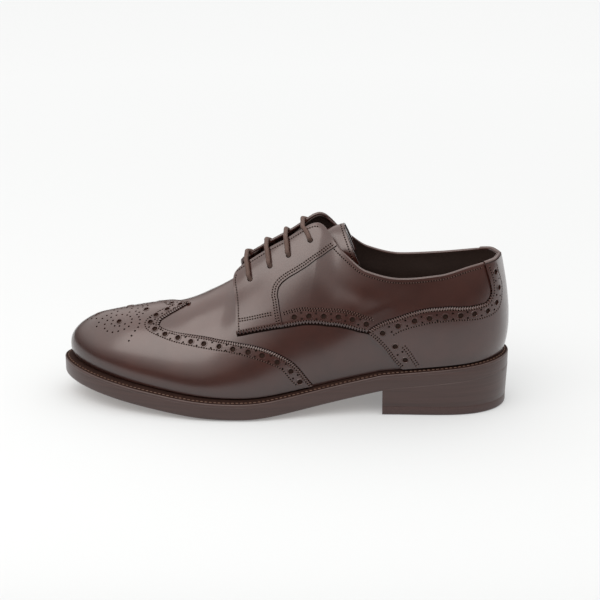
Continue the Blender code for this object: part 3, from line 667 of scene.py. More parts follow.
Crease = namedtuple("Crease", "round_a rise_a round_b rise_b height width")
CREASES = [
    Crease(60.0, 62.0, 70.0, 60.0, -0.45, 7.0),
    Crease(65.0, 72.0, 70.0, 85.0, 0.35, 6.0),
    Crease(42.0, 66.0, 34.0, 76.0, -0.40, 7.0),
    Crease(46.0, 60.0, 38.0, 66.0, 0.35, 6.0),
    Crease(36.0, 55.0, 30.0, 72.0, 0.25, 5.0),
    Crease(20.0, 78.0, 26.0, 92.0, -0.25, 8.0),
]


def creases(t, v):
    """Sum of soft troughs and ridges: each falls off as a bell curve away from its line."""
    place = np.stack([share_of(t) * ROUND_MM, v * RISE_MM], axis=-1)
    total = np.zeros(t.shape)
    for row in CREASES:
        start = np.array([row.round_a * ROUND_MM, row.rise_a * RISE_MM]) / 100.0
        run = np.array([row.round_b * ROUND_MM, row.rise_b * RISE_MM]) / 100.0 - start
        along = np.clip((place - start) @ run / (run @ run), 0.0, 1.0)
        away = np.linalg.norm(place - start - along[..., None] * run, axis=-1)
        total = total + row.height * np.exp(-(away / row.width)**2)
    return total


def fold(t, v):
    """Carry places that lie past the ridge of the vamp over to the other side of the shoe."""
    over = (v > 1.0) & (share_of(t) > FOLD_ROUND)
    return np.where(over, 1.0 - t, t), np.where(over, 2.0 - v, np.minimum(v, 1.0))


def on_layer(t, v, depth, lifted):
    """Point at a depth of a layer, with the creases and the lift of the laced corner."""
    t, v = fold(t, v)
    lift = tab_lift(t, v) if lifted else 0.0
    return skin(t, v, depth + creases(t, v) + lift)


def layer_frame(share, rise, side, depth, lifted):
    """Points of a layer with their two directions, towards the toe and up the rib, and the outward normal."""
    step = 1e-3
    top = np.where(share > FOLD_ROUND, 2.0, 1.0)
    steps = ((0, 0), (step, 0), (-step, 0), (0, step), (0, -step))
    place = [(share + a, np.minimum(rise + b, top)) for a, b in steps]
    here, ahead, behind, above, below = [on_layer(loop_place(s, side), v, depth, lifted) for s, v in place]
    along = (ahead - behind) / (2.0 * step)
    up = (above - below) / (place[3][1] - place[4][1])[:, None]
    return here, along, up, unit(np.cross(along, up) * side)


def inset(share, rise, side, distance):
    """Path at a distance in millimetres to the left of a path, measured on the leather."""
    share = np.asarray(share)
    rise = np.asarray(rise)
    _, along, up, _ = layer_frame(share, rise, side, 0.0, False)
    run = along * np.gradient(share)[:, None] + up * np.gradient(rise)[:, None]
    left = distance * unit(np.cross(unit(np.cross(along, up)), run))
    aa, bb, ab = (along * along).sum(-1), (up * up).sum(-1), (along * up).sum(-1)
    la, lb = (left * along).sum(-1), (left * up).sum(-1)
    whole = aa * bb - ab * ab
    return share + (la * bb - lb * ab) / whole, rise + (lb * aa - la * ab) / whole


def drawn(points):
    """Smooth path through a few places given as round and rise in percent, with even steps between them."""
    place = np.array(points) * np.array([ROUND_MM, RISE_MM]) / 100.0
    run = distance_along(place)
    steps = np.arange(DRAWN_STEPS * (len(points) - 1) + 1) / DRAWN_STEPS
    at = np.interp(steps, np.arange(len(points)), run)
    share, rise = [through(list(zip(run, values)), at) for values in np.array(points).T / 100.0]
    return share, rise


print(len(CREASES), "creases and five layers")

# %% Places along a path
Places = namedtuple("Places", "point normal along")
PATH_LOWEST = 0.004
PATH_PAST_RIDGE = 1.3


def trace(path, side, layer):
    """Points of a path on a layer's outer face, their normals and the distance along it."""
    share, rise = path
    keep = (rise > PATH_LOWEST) & (rise <= np.where(share > FOLD_ROUND, PATH_PAST_RIDGE, 1.0))
    point, _, _, normal = layer_frame(share[keep], rise[keep], side, layer.outer, layer.lifted)
    return point, normal, distance_along(point)


def places_at(point, normal, run, at):
    """Places at given distances along a traced path."""

    def read(values):
        return np.stack([np.interp(at, run, values[:, k]) for k in range(3)], axis=-1)

    return Places(read(point), unit(read(normal)), unit(read(np.gradient(point, run, axis=0))))


def places_on(path, side, layer):
    """Places of a path on a layer's outer face."""
    point, along, _, normal = layer_frame(*path, side, layer.outer, layer.lifted)
    return Places(point, normal, along)


def join_places(rows):
    """Several sets of places as one."""
    return Places(*[np.concatenate([getattr(row, name) for row in rows]) for name in Places._fields])


print("each place has", len(Places._fields), "vectors")

# %% [markdown]
# ## Meshes from arrays
#
# Every piece is built from whole arrays of points. A sheet of leather is two grids, its outer and its inner
# face, sewn together round the rim. Small things that repeat, such as stitches and holes, are one little
# pattern that is turned and moved to all of its places at once. Blender's own modifiers could do some of this,
# but arrays are quicker, and they show how a mesh is put together.

# %% Meshes from arrays
SHARP_EDGE = math.radians(42.0)


def grid_quads(rows, columns, round_rows=False, round_columns=False):
    """Corner numbers of the quads of a grid, closed round where asked."""
    i = np.arange(rows if round_rows else rows - 1)[:, None]
    j = np.arange(columns if round_columns else columns - 1)[None, :]
    k = (i + 1) % rows
    m = (j + 1) % columns
    corners = [i * columns + j, i * columns + m, k * columns + m, k * columns + j]
    return np.stack(corners, axis=-1).reshape(-1, 4)


def shell_quads(rows, columns):
    """Quads of two grids, one over the other, and of the rim between them."""
    count = rows * columns
    face = grid_quads(rows, columns)
    border = np.concatenate([
        np.arange(columns),
        np.arange(2 * columns - 1, count, columns),
        np.arange(count - 2, count - columns - 1, -1),
        np.arange(count - 2 * columns, 0, -columns),
    ])
    following = np.roll(border, -1)
    rim = np.stack([border, border + count, following + count, following], axis=-1)
    return np.concatenate([face, face[:, ::-1] + count, rim])


def add_mesh(name, points, quads, material, slot, stands_for=(), shade=None, uv=None):
    """Piece from points in millimetres and quads; shade is one number a point, uv two."""
    mesh = bpy.data.meshes.new(name)
    place = (np.asarray(points).reshape(-1, 3) - CENTRE) * MM
    mesh.vertices.add(len(place))
    mesh.vertices.foreach_set("co", place.astype(np.float32).ravel())
    mesh.loops.add(quads.size)
    mesh.loops.foreach_set("vertex_index", quads.astype(np.int32).ravel())
    mesh.polygons.add(len(quads))
    mesh.polygons.foreach_set("loop_start", np.arange(0, quads.size, 4, dtype=np.int32))
    mesh.update(calc_edges=True)
    mesh.materials.append(material)
    # One number a point: how far burnishing and painted shade darken the calf.
    if shade is not None:
        layer = mesh.attributes.new("burnish", "FLOAT", "POINT")
        layer.data.foreach_set("value", np.asarray(shade).astype(np.float32).ravel())
    if uv is not None:
        layer = mesh.uv_layers.new(name="run")
        layer.data.foreach_set("uv", np.asarray(uv).reshape(-1, 2)[quads.ravel()].astype(np.float32).ravel())
    mesh.shade_smooth()
    mesh.set_sharp_from_angle(angle=SHARP_EDGE)
    piece = bpy.data.objects.new(name, mesh)
    bpy.context.scene.collection.objects.link(piece)
    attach(piece, "root")
    for node_name in stands_for:
        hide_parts(node_name)
    return piece


print("sheets of leather are two grids and a rim")

# %% Small patterns that repeat


def frames(places):
    """Three directions at each place: along, across and out."""
    out = places.normal
    across = unit(np.cross(out, places.along))
    return np.stack([np.cross(across, out), across, out], axis=1)


def repeat(pattern, quads, places):
    """A small pattern turned and moved to every place, as points and quads of one mesh."""
    points = places.point[:, None, :] + np.einsum("pk,nkc->npc", pattern, frames(places))
    count = len(pattern)
    faces = quads[None, :, :] + count * np.arange(len(places.point))[:, None, None]
    return points.reshape(-1, 3), faces.reshape(-1, 4)


def disc_quads(count, first=0):
    """Quads that close a ring of an even number of points straight across."""
    i = np.arange(count // 2 - 1)
    return np.stack([i, i + 1, count - 2 - i, count - 1 - i], axis=-1) + first


def ring(radius, count):
    """Points of a circle in the plane of along and across."""
    a = 2.0 * math.pi * np.arange(count) / count
    return radius * np.cos(a), radius * np.sin(a)


def punch_pattern(radius, low, high, count):
    """Closed round punch from a low to a high place on the normal."""
    x, y = ring(radius, count)
    ends = [np.stack([x, y, np.full(count, z)], axis=-1) for z in (low, high)]
    sides = grid_quads(2, count, round_columns=True)
    return np.concatenate(ends), np.concatenate([sides, disc_quads(count)[:, ::-1], disc_quads(count, count)])


def rim_pattern(radius, thick, count, turns=6, flat=0.8):
    """Small ring of leather that a punch raises round its hole."""
    x, y = ring(1.0, count)
    a = 2.0 * math.pi * np.arange(turns) / turns
    reach = radius + thick * np.cos(a)
    points = np.stack([
        x[:, None] * reach, y[:, None] * reach, np.broadcast_to(flat * thick * np.sin(a), (count, turns)),
    ], axis=-1)
    return points.reshape(-1, 3), grid_quads(count, turns, True, True)[:, ::-1]


def stitch_pattern(length, half, height, count=6):
    """One stitch: a short rounded bar that dips at both ends."""
    along = np.array([-0.5, -0.42, -0.2, 0.2, 0.42, 0.5]) * length
    size = np.array([0.15, 0.75, 1.0, 1.0, 0.75, 0.15])
    sink = np.array([-0.9, -0.25, 0.1, 0.1, -0.25, -0.9]) * height
    x, y = ring(1.0, count)
    points = np.stack([
        np.broadcast_to(along[:, None], (6, count)),
        half * size[:, None] * x,
        height * size[:, None] * y + sink[:, None],
    ], axis=-1)
    return points.reshape(-1, 3), grid_quads(6, count, round_columns=True)


print("patterns of punches, rims and stitches")

# %% Holes
PUNCH_REACH = 2.2
PUNCH_SIDES = 16


def drill(piece, cuts, low=-PUNCH_REACH):
    """Cut round holes: each cut gives places and a radius; all the punches are joined into one."""
    points, quads, first = [], [], 0
    for places, radius in cuts:
        pattern, faces = punch_pattern(radius, low, PUNCH_REACH, PUNCH_SIDES)
        p, q = repeat(pattern, faces, places)
        points.append(p)
        quads.append(q + first)
        first += len(p)
    punch = bpy.data.meshes.new("punch")
    place = (np.concatenate(points) - CENTRE) * MM
    punch.from_pydata(place.tolist(), [], np.concatenate(quads).tolist())
    cutter = bpy.data.objects.new("punch", punch)
    bpy.context.scene.collection.objects.link(cutter)
    cut = piece.modifiers.new("holes", "BOOLEAN")
    cut.operation = "DIFFERENCE"
    cut.solver = "MANIFOLD"
    cut.object = cutter
    result = bpy.data.meshes.new_from_object(piece.evaluated_get(bpy.context.evaluated_depsgraph_get()))
    piece.modifiers.clear()
    piece.data = result
    result.shade_smooth()
    result.set_sharp_from_angle(angle=SHARP_EDGE)
    bpy.data.objects.remove(cutter, do_unlink=True)
    return piece


print("punches have", PUNCH_SIDES, "sides")

# %% Sheets of leather and toothed edges
# How much darker the calf is at the toe and along the welt: partly burnishing, partly painted shade.
TOE_BURNISH_AND_SHADE = 0.8
TOE_DARKENING_ROUND = 0.80
TOE_TOP_FADE = 0.4
TOE_TOP_RISE = 0.5
WELT_SHADE_AND_BURNISH = 0.5
WELT_DARKENING_RISE = 0.16
TOOTH_STEPS = 6
BEHIND_TEETH = 1.3


def burnish_and_painted_shade(t, v):
    """How far the calf is darkened at the toe, less on its top, and along the welt: partly burnishing, partly
    painted shade.
    """
    on_top = TOE_TOP_FADE * smooth_step(v, TOE_TOP_RISE, 1.0)
    toe = smooth_step(share_of(t), TOE_DARKENING_ROUND, 1.0) * (1.0 - on_top)
    foot = 1.0 - smooth_step(v, 0.0, WELT_DARKENING_RISE)
    return np.clip(TOE_BURNISH_AND_SHADE * toe + WELT_SHADE_AND_BURNISH * foot, 0.0, 1.0)


def add_leather(name, t, v, layer, material, slot, stands_for, bevel=0.0):
    """Sheet of leather over a grid of places, from its layer's inner to its outer depth less a bevel."""
    t, v = fold(t, v)
    base = on_layer(t, v, 0.0, layer.lifted)
    out = outward(t, v)
    outer = base + np.broadcast_to(layer.outer - bevel, t.shape)[..., None] * out
    inner = base + layer.inner * out
    quads = turned_out(shell_quads(*t.shape), outer, out)
    points = np.concatenate([outer.reshape(-1, 3), inner.reshape(-1, 3)])
    # Burnishing and painted shade at the toe and along the welt.
    shade = np.tile(burnish_and_painted_shade(t, v).ravel(), 2)
    piece = add_mesh(name, points, quads, material, slot, stands_for, shade)
    print(name, len(quads), "quads")
    return piece


def turned_out(quads, grid, out):
    """Quads of a grid, turned round if they face against its outward normals at the middle of the grid."""
    i, j = grid.shape[0] // 2, grid.shape[1] // 2
    turn = np.cross(grid[i, j + 1] - grid[i, j], grid[i + 1, j] - grid[i, j])
    return quads if turn @ out[i, j] > 0.0 else quads[:, ::-1]


def saw(count):
    """Teeth of a gimped edge: a wave of straight lines between nought and one, a few steps long."""
    return np.abs(2.0 * np.mod(np.arange(count) / TOOTH_STEPS, 1.0) - 1.0)


def path_length(share, rise, side):
    """Distance in millimetres along a path on the lasted form."""
    return distance_along(surface(*fold(loop_place(share, side), rise)))


def gimped(share, rise, side, depth):
    """An edge cut into small teeth: between two teeth it goes a depth to the left of the path."""
    near_share, near_rise = inset(share, rise, side, depth)
    tooth = saw(len(share))
    return share + tooth * (near_share - share), rise + tooth * (near_rise - rise)


def toothed(share, rise, side, depth):
    """First two lines of a gimped sheet: its teeth, and a smooth line just behind them."""
    return gimped(share, rise, side, depth), inset(share, rise, side, BEHIND_TEETH * depth)


print("a tooth takes", TOOTH_STEPS, "steps of the grid")

# %% [markdown]
# ## Materials
#
# Polished calf is a dark dye under a thin coat of wax. The colour wanders a little, and fine pores and a slow
# unevenness bend its reflections. It is darker at the toe and along the welt, partly where the polisher
# burnished it and partly as painted shade. Each material below is built from noises whose scale is one over
# the real size of what they show, in metres.

# %% Materials


def start_material(name, roughness, coat=0.0, coat_roughness=0.1, specular=0.5):
    """Empty material with its constant finish on the shader itself."""
    material = bpy.data.materials.new(name)
    material.use_nodes = True
    tree = material.node_tree
    shader = tree.nodes["Principled BSDF"]
    for socket, value in (
        ("Roughness", roughness), ("Coat Weight", coat), ("Coat Roughness", coat_roughness),
        ("Specular IOR Level", specular), ("Metallic", 0.0),
    ):
        shader.inputs[socket].default_value = value
    place = add_node(tree, "ShaderNodeTexCoord").outputs["Object"]
    return material, tree, shader, place


print("every material starts from a Principled shader")

# %% Polished calf
Lumps = namedtuple("Lumps", "what size detail rough")
CALF_LUMPS = [  # sizes in metres
    Lumps("mottled dye", 0.018, 4.0, 0.55),
    Lumps("worn polish", 0.007, 3.0, 0.5),
    Lumps("pores", 0.0007, 2.0, 0.6),
    Lumps("slow unevenness", 0.009, 2.0, 0.5),
]
WAX_IOR = 1.62
WAX_ROUGH = 0.22
CALF_SHINE = 0.22
# Strength of the darkening by burnishing and painted shade.
BURNISH_AND_SHADE_TONE = 0.75
MOTTLE_SPAN = {"From Min": 0.3, "From Max": 0.7, "To Min": 0.0, "To Max": 0.5}
GLOSS_SPREAD = (-0.06, 0.10)
PORE_BUMP = {"Strength": 0.10, "Distance": 0.0001}
UNEVEN_BUMP = {"Strength": 0.16, "Distance": 0.0006}


def calf(name, light, dark, roughness, coat):
    """Box calf dyed brown, waxed and polished: mottled dye, darkening by burnishing and painted shade, pores
    and slow unevenness.
    """
    material, tree, shader, place = start_material(name, roughness, coat, WAX_ROUGH, CALF_SHINE)
    shader.inputs["Coat IOR"].default_value = WAX_IOR
    burnish = add_node(tree, "ShaderNodeAttribute", attribute_name="burnish").outputs["Fac"]
    mottle, wear, pores, slow = [
        add_node(
            tree, "ShaderNodeTexNoise",
            {"Scale": 1.0 / row.size, "Detail": row.detail, "Roughness": row.rough}, {"Vector": place},
        ).outputs["Fac"]
        for row in CALF_LUMPS
    ]
    # Darkening at the toe and along the welt: burnishing and painted shade.
    deeper = {1: BURNISH_AND_SHADE_TONE}
    shade = add_node(tree, "ShaderNodeMath", deeper, {0: burnish}, operation="MULTIPLY").outputs[0]
    spots = add_node(tree, "ShaderNodeMapRange", MOTTLE_SPAN, {"Value": mottle}).outputs["Result"]
    terms = {0: shade, 1: spots}
    both = add_node(tree, "ShaderNodeMath", {}, terms, operation="ADD", use_clamp=True).outputs[0]
    tones = {6: srgb(light), 7: srgb(dark)}
    colour = add_node(tree, "ShaderNodeMix", tones, {0: both}, data_type="RGBA").outputs[2]
    span = dict(zip(("To Min", "To Max"), [roughness + step for step in GLOSS_SPREAD]))
    gloss = add_node(tree, "ShaderNodeMapRange", span, {"Value": wear}).outputs["Result"]
    fine = add_node(tree, "ShaderNodeBump", PORE_BUMP, {"Height": pores})
    wide = add_node(tree, "ShaderNodeBump", UNEVEN_BUMP, {"Height": slow, "Normal": fine.outputs[0]})
    tree.links.new(colour, shader.inputs["Base Color"])
    tree.links.new(gloss, shader.inputs["Roughness"])
    tree.links.new(wide.outputs[0], shader.inputs["Normal"])
    return material


print(len(CALF_LUMPS), "noises in the calf")

# %% Plain leather, thread and rubber
PLAIN_COAT_ROUGH = 0.25
STREAK_DETAIL = {"Detail": 4.0, "Roughness": 0.6}
STREAK_SPAN = {"From Min": 0.25, "From Max": 0.75}
STREAK_BUMP = 0.35


def plain_leather(name, light, dark, roughness, coat, pore, height, stretch=(1.0, 1.0, 1.0), specular=0.4):
    """Leather or rubber without polish: two tones of one noise, stretched along the layers, and its bump."""
    material, tree, shader, place = start_material(name, roughness, coat, PLAIN_COAT_ROUGH, specular)
    drawn_out = add_node(tree, "ShaderNodeMapping", {"Scale": stretch}, {"Vector": place}).outputs[0]
    lumps = {"Scale": 1.0 / pore, **STREAK_DETAIL}
    streak = add_node(tree, "ShaderNodeTexNoise", lumps, {"Vector": drawn_out}).outputs["Fac"]
    tone = add_node(tree, "ShaderNodeMapRange", STREAK_SPAN, {"Value": streak}).outputs["Result"]
    tones = {6: srgb(light), 7: srgb(dark)}
    colour = add_node(tree, "ShaderNodeMix", tones, {0: tone}, data_type="RGBA").outputs[2]
    bump = add_node(tree, "ShaderNodeBump", {"Strength": STREAK_BUMP, "Distance": height}, {"Height": streak})
    tree.links.new(colour, shader.inputs["Base Color"])
    tree.links.new(bump.outputs[0], shader.inputs["Normal"])
    return material


print("plain leather has one noise")

# %% Braided lace
STRAND_TURN = 0.7
# A wave of scale 1 repeats every pi / 10, so these strands lie 0.75 mm apart.
STRAND_SCALE = 420.0
LACE_ROUGH = 0.62
LACE_SHINE = 0.35
STRAND_BUMP = {"Strength": 0.5, "Distance": 0.0003}


def braid(name, light, dark):
    """Waxed cotton lace: two sets of strands that wind round it in opposite ways."""
    material, tree, shader, _ = start_material(name, LACE_ROUGH, specular=LACE_SHINE)
    run = add_node(tree, "ShaderNodeUVMap").outputs[0]
    waves = []
    for turn in (STRAND_TURN, -STRAND_TURN):
        turned = add_node(tree, "ShaderNodeMapping", {"Rotation": (0.0, 0.0, turn)}, {"Vector": run})
        wave = add_node(tree, "ShaderNodeTexWave", {"Scale": STRAND_SCALE}, {"Vector": turned.outputs[0]})
        waves.append(wave.outputs["Fac"])
    weave = add_node(tree, "ShaderNodeMath", {}, dict(enumerate(waves)), operation="MULTIPLY").outputs[0]
    tones = {6: srgb(dark), 7: srgb(light)}
    colour = add_node(tree, "ShaderNodeMix", tones, {0: weave}, data_type="RGBA").outputs[2]
    bump = add_node(tree, "ShaderNodeBump", STRAND_BUMP, {"Height": weave})
    tree.links.new(colour, shader.inputs["Base Color"])
    tree.links.new(bump.outputs[0], shader.inputs["Normal"])
    return material


print("strands turned by", STRAND_TURN)

# %% The shoe's materials
# Polished box calf: deep red brown under a hard, clear wax shine.
CALF = calf("burnished_calf_polished", "#3a1c15", "#240e09", 0.40, 1.0)
# The same calf on the punched overlays.
TRIM_CALF = calf("burnished_calf_punched", "#3a1c15", "#240e09", 0.40, 1.0)
# Matt lining: the inside of the shoe stays soft and dark, its colour darkened further to paint the shade
# inside the shoe and in the lacing slot.
LINING_AND_SHADE = plain_leather("lining_matt_painted_shade", "#2e211c", "#211611", 0.6, 0.0, 0.0012, 0.0001)
# Bottom of a hole: a matt disc for the leather under it, coloured as painted shade, a little lighter than the
# wall round it.
HOLE_FLOOR_SHADE = plain_leather(
    "leather_under_holes_painted_shade", "#3a2c26", "#2a1f1a", 0.8, 0.0, 0.0012, 0.0001, specular=0.12,
)
# Waxed edge of the sole and heel: fine level streaks of pressed leather.
EDGE = plain_leather("sole_edge_waxed", "#432e2a", "#33221e", 0.40, 0.4, 0.004, 0.0002, (0.06, 0.06, 3.0))
# Bare tan leather under the sole.
TREAD = plain_leather("sole_leather_tread", "#8a6446", "#6c4a33", 0.6, 0.0, 0.003, 0.0002)
# Heel rubber: smooth, and duller than the leather above it.
RUBBER = plain_leather("heel_rubber_moulded", "#463330", "#372725", 0.45, 0.2, 0.0008, 0.0001)
# Thread of the seams, a little paler than the calf.
THREAD = plain_leather("waxed_linen_thread", "#5c463d", "#463530", 0.5, 0.1, 0.0006, 0.0001)
# Top of the welt: dyed dark and matt, and darker still as painted shade under the upper, so that its thread
# stands out.
WELT_TOP_DYE_AND_SHADE = plain_leather(
    "welt_dyed_and_painted_shade", "#2c1c17", "#1e120e", 0.7, 0.0, 0.002, 0.0002, specular=0.08,
)
# Thick tan thread of the welt.
WELT_THREAD = plain_leather("welt_thread", "#644736", "#4a3327", 0.5, 0.1, 0.0006, 0.0001)
# Needle holes and cut edges: nearly black, without any shine; the needle holes are painted shade, the edges
# dye with painted shadow beside them.
NEEDLE_HOLE_SHADE = plain_leather("needle_hole_painted_shade", "#140b08", "#0e0806", 0.9, 0.0, 0.0006, 0.0001, specular=0.03)
# Dye of the cut edges; where it reaches past them onto the leather beneath it is painted shadow.
EDGE_DYE_AND_SHADOW = plain_leather("edge_dye_and_painted_shadow", "#1c100c", "#120a08", 0.8, 0.0, 0.0008, 0.0001, specular=0.03)
# Waxed cotton lace: a soft braid without shine.
LACE = braid("waxed_cotton_lace", "#6e5a52", "#4d3c36")
print("thirteen materials")

# %% [markdown]
# ## The upper and its lining
#
# The upper is one wall of leather, lasted over the form and open at the collar and along the lacing slot. Its
# outer face is the vamp that shows between the overlays, its inner face the lining. Each is one grid round
# the whole shoe, from the welt up to the edge of the collar and slot.

# %% Upper and lining
LOOP_STEPS = 260
UPPER_STEPS = 56
COLLAR_THIN = 1.3
COLLAR_THIN_FROM = 0.75
CLOSE_AT_NOSE = (0.60, 0.66, 60)


def loop_grid():
    """Places round the whole shoe, from the welt to the collar, closer where the slot's nose turns."""
    side = np.unique(np.concatenate([np.linspace(0.0, 1.0, LOOP_STEPS), np.linspace(*CLOSE_AT_NOSE)]))
    outer = edge_at(side, -1.0, True)
    inner = edge_at(side, 1.0, True)
    t = around(0.5 * side, 1.0 - 0.5 * side)
    top = around(outer, inner)
    up = np.linspace(0.0, 1.0, UPPER_STEPS)
    return np.repeat(t[:, None], UPPER_STEPS, axis=1), top[:, None] * up


def add_upper():
    """Outer face of the upper and the lining inside it."""
    t, v = loop_grid()
    quads = grid_quads(*t.shape, round_rows=True)
    outer = on_layer(t, v, VAMP.outer, False)
    up = np.linspace(0.0, 1.0, UPPER_STEPS)
    depth = VAMP.inner + COLLAR_THIN * smooth_step(up, COLLAR_THIN_FROM, 1.0)
    inner = on_layer(t, v, np.broadcast_to(depth, t.shape), False)
    facing_out = turned_out(quads, outer, outward(t, v))
    add_mesh("vamp", outer, facing_out, CALF, "burnished_calf", ["upper"], burnish_and_painted_shade(t, v))
    add_mesh("lining", inner, facing_out[:, ::-1], LINING_AND_SHADE, "lining_leather")
    print("vamp and lining", len(quads), "quads each")


add_upper()

# %% [markdown]
# ## The overlays
#
# Wing cap, quarters, facings and heel counter are sheets cut with toothed (gimped) edges and laid on the
# upper. A knife would cut the teeth along the finished edge; here the first row of each grid steps in and out
# by the depth of a tooth and thins a little, so that the teeth catch the light, and the rest stays smooth.

# %% Wing cap
BACK_SEAM = 0.006
FOOT_RISE = 0.012
GIMP_DEPTH = 1.4
GIMP_BEVEL = 0.6
WING_LEAN = 0.10
WING_LEAN_ROUND = 0.88
WING_LEAN_RISE = 0.45
WING_STEPS = 540
WING_RIBS = 30
WING_NEAR_EDGE = (0.015, 0.032)
EDGE_SAMPLES = 1500


def leaned(share, rise, side):
    """Rise on one side of the wing cap, whose middle line leans to the outer side behind the toe."""
    behind_toe = 1.0 - smooth_step(share, WING_LEAN_ROUND, 1.0)
    return rise + side * WING_LEAN * behind_toe * smooth_step(rise, WING_LEAN_RISE, 1.0)


def ribs_from_edge(near_edge, count):
    """Ribs across a sheet, from nought at its toothed edge: one close behind the teeth, then even steps."""
    return np.concatenate([[0.0, near_edge[0]], np.linspace(near_edge[1], 1.0, count - 2)])


def wing_edge(count=WING_STEPS):
    """Edge of the wing cap from the welt to its peak on the middle line, in even steps."""
    rise = np.linspace(FOOT_RISE, 1.0, EDGE_SAMPLES)
    share = through(WING_EDGE, 100.0 * rise) / 100.0
    run = path_length(share, leaned(share, rise, -1.0), -1.0)
    even = np.interp(np.linspace(0.0, run[-1], count), run, rise)
    return through(WING_EDGE, 100.0 * even) / 100.0, even


def add_wing_cap():
    """Wing cap from its outer edge over the toe to its inner edge."""
    share, rise = wing_edge()
    inwards = ribs_from_edge(WING_NEAR_EDGE, WING_RIBS)
    halves = []
    for _, side in SIDES:
        s = share[:, None] + (1.0 - share)[:, None] * inwards
        v = leaned(s, np.repeat(rise[:, None], WING_RIBS, axis=1), side)
        (s[:, 0], v[:, 0]), (s[:, 1], v[:, 1]) = toothed(s[:, 0], v[:, 0], side, -GIMP_DEPTH)
        v = np.maximum(v, 0.5 * FOOT_RISE)
        halves.append((loop_place(s, side), v))
    (t_out, v_out), (t_in, v_in) = halves
    t = np.concatenate([t_out, t_in[:, -2::-1]], axis=1)
    v = np.concatenate([v_out, v_in[:, -2::-1]], axis=1)
    bevel = np.zeros_like(v)
    bevel[:, [0, -1]] = GIMP_BEVEL
    return add_leather("wing_cap_leather", t, v, WING, TRIM_CALF, "burnished_calf_trim", ["wing_cap"], bevel)


wing_cap = add_wing_cap()

# %% Quarters and facings
QUARTER_STEPS = 560
QUARTER_RIBS = 34
QUARTER_NEAR_EDGE = (0.025, 0.055)
UNDER_FACING = 0.53
UNDER_FACING_HEM = 0.004
FACING_STEPS = 82
FACING_RIBS = 48
FACING_NEAR_EDGE = (0.025, 0.06)
FACING_BEND = (0.40, 0.60, 41)
FACING_BACK = 0.001


def add_quarter(name, side):
    """Quarter from the back seam to the lacing."""
    up = ribs_from_edge(QUARTER_NEAR_EDGE, QUARTER_RIBS)
    front = through(QUARTER_FRONT, 100.0 * up) / 100.0
    along = np.linspace(0.0, 1.0, QUARTER_STEPS)
    share = BACK_SEAM + (front - BACK_SEAM)[:, None] * along
    _, v = quarter_place(share, np.repeat(up[:, None], QUARTER_STEPS, axis=1), side)
    (share[0], v[0]), (share[1], v[1]) = toothed(share[0], v[0], side, GIMP_DEPTH)
    under_facing = share[0] > UNDER_FACING
    v[0, under_facing] = v[1, under_facing] - UNDER_FACING_HEM
    bevel = np.zeros_like(v)
    bevel[0] = GIMP_BEVEL
    t = loop_place(share, side)
    stands_for = [f"quarter_{name}"]
    return add_leather(f"quarter_{name}_leather", t, v, QUARTER, CALF, "burnished_calf", stands_for, bevel)


def add_facing(name, side):
    """Eyelet facing on the front of a quarter."""
    up = np.unique(np.append(ribs_from_edge(FACING_NEAR_EDGE, FACING_RIBS), np.linspace(*FACING_BEND)))
    front = through(QUARTER_FRONT, 100.0 * up) / 100.0 - FACING_BACK
    rear = through(FACING_REAR, 100.0 * up) / 100.0
    along = np.linspace(0.0, 1.0, FACING_STEPS)
    share = rear[:, None] + (front - rear)[:, None] * along
    _, v = quarter_place(share, np.repeat(up[:, None], FACING_STEPS, axis=1), side)
    (share[0], v[0]), (share[1], v[1]) = toothed(share[0], v[0], side, GIMP_DEPTH)
    bevel = np.zeros_like(v)
    bevel[0] = GIMP_BEVEL
    t = loop_place(share, side)
    return add_leather(
        f"facing_{name}_leather", t, v, FACING, TRIM_CALF, "burnished_calf_trim", [f"facing_{name}"], bevel,
    )


quarters = {side: add_quarter(name, side) for name, side in SIDES}
facings = {side: add_facing(name, side) for name, side in SIDES}

# %% Heel counter
COUNTER_STEPS = 600
COUNTER_RIBS = 15
COUNTER_NEAR_EDGE = (0.94, 0.97)
COUNTER_HIGHEST = 0.995
TEETH_FROM = 0.10
TEETH_TO = 0.985


def counter_edge(count=COUNTER_STEPS):
    """Foot and top edge of the heel counter in even steps: up its leg, over the peak and to the back seam."""
    place = np.arange(len(COUNTER_ROWS), dtype=float)
    dense = np.linspace(0.0, place[-1], EDGE_SAMPLES)

    def read(name, at):
        return through(list(zip(place, column(COUNTER_ROWS, name))), at) / 100.0

    run = path_length(read("top_round", dense), read("top_rise", dense), -1.0)
    even = np.interp(np.linspace(0.0, run[-1], count), run, dense)
    rise = np.minimum(read("top_rise", even), COUNTER_HIGHEST)
    return read("foot_round", even), read("top_round", even), rise


def add_counter():
    """Heel counter from its inner peak round the back to its outer peak."""
    foot, top, rise = counter_edge()
    below, behind_teeth = COUNTER_NEAR_EDGE
    up = np.append(np.linspace(0.0, below, COUNTER_RIBS - 2), [behind_teeth, 1.0])
    halves = []
    for _, side in SIDES:
        s = foot[:, None] + (top - foot)[:, None] * up
        v = FOOT_RISE + (rise - FOOT_RISE)[:, None] * up
        cut = (rise > TEETH_FROM) & (rise < TEETH_TO)
        lines = toothed(top, rise, side, GIMP_DEPTH)
        for line, rib in zip(lines, (-1, -2)):
            s[cut, rib], v[cut, rib] = line[0][cut], line[1][cut]
        halves.append((loop_place(s, side), v))
    (t_out, v_out), (t_in, v_in) = halves
    t = np.concatenate([t_in[:-1], t_out[::-1]])
    v = np.concatenate([v_in[:-1], v_out[::-1]])
    bevel = np.zeros_like(v)
    bevel[:, -1] = np.where(v[:, -1] < TEETH_TO, GIMP_BEVEL, 0.0)
    return add_leather(
        "heel_counter_leather", t, v, COUNTER, TRIM_CALF, "burnished_calf_trim", ["heel_counter"], bevel,
    )


counter = add_counter()

# %% [markdown]
# ## The broguing
#
# A brogue is punched: large holes a centimetre apart with a pair of small ones between them, along every
# overlay, and an ornament of both on the toe. The holes are real. All the punches of one piece are joined into
# one mesh and cut from it at once with a Boolean; cutting them one by one would take minutes. Each large
# punch also raises a small rim.

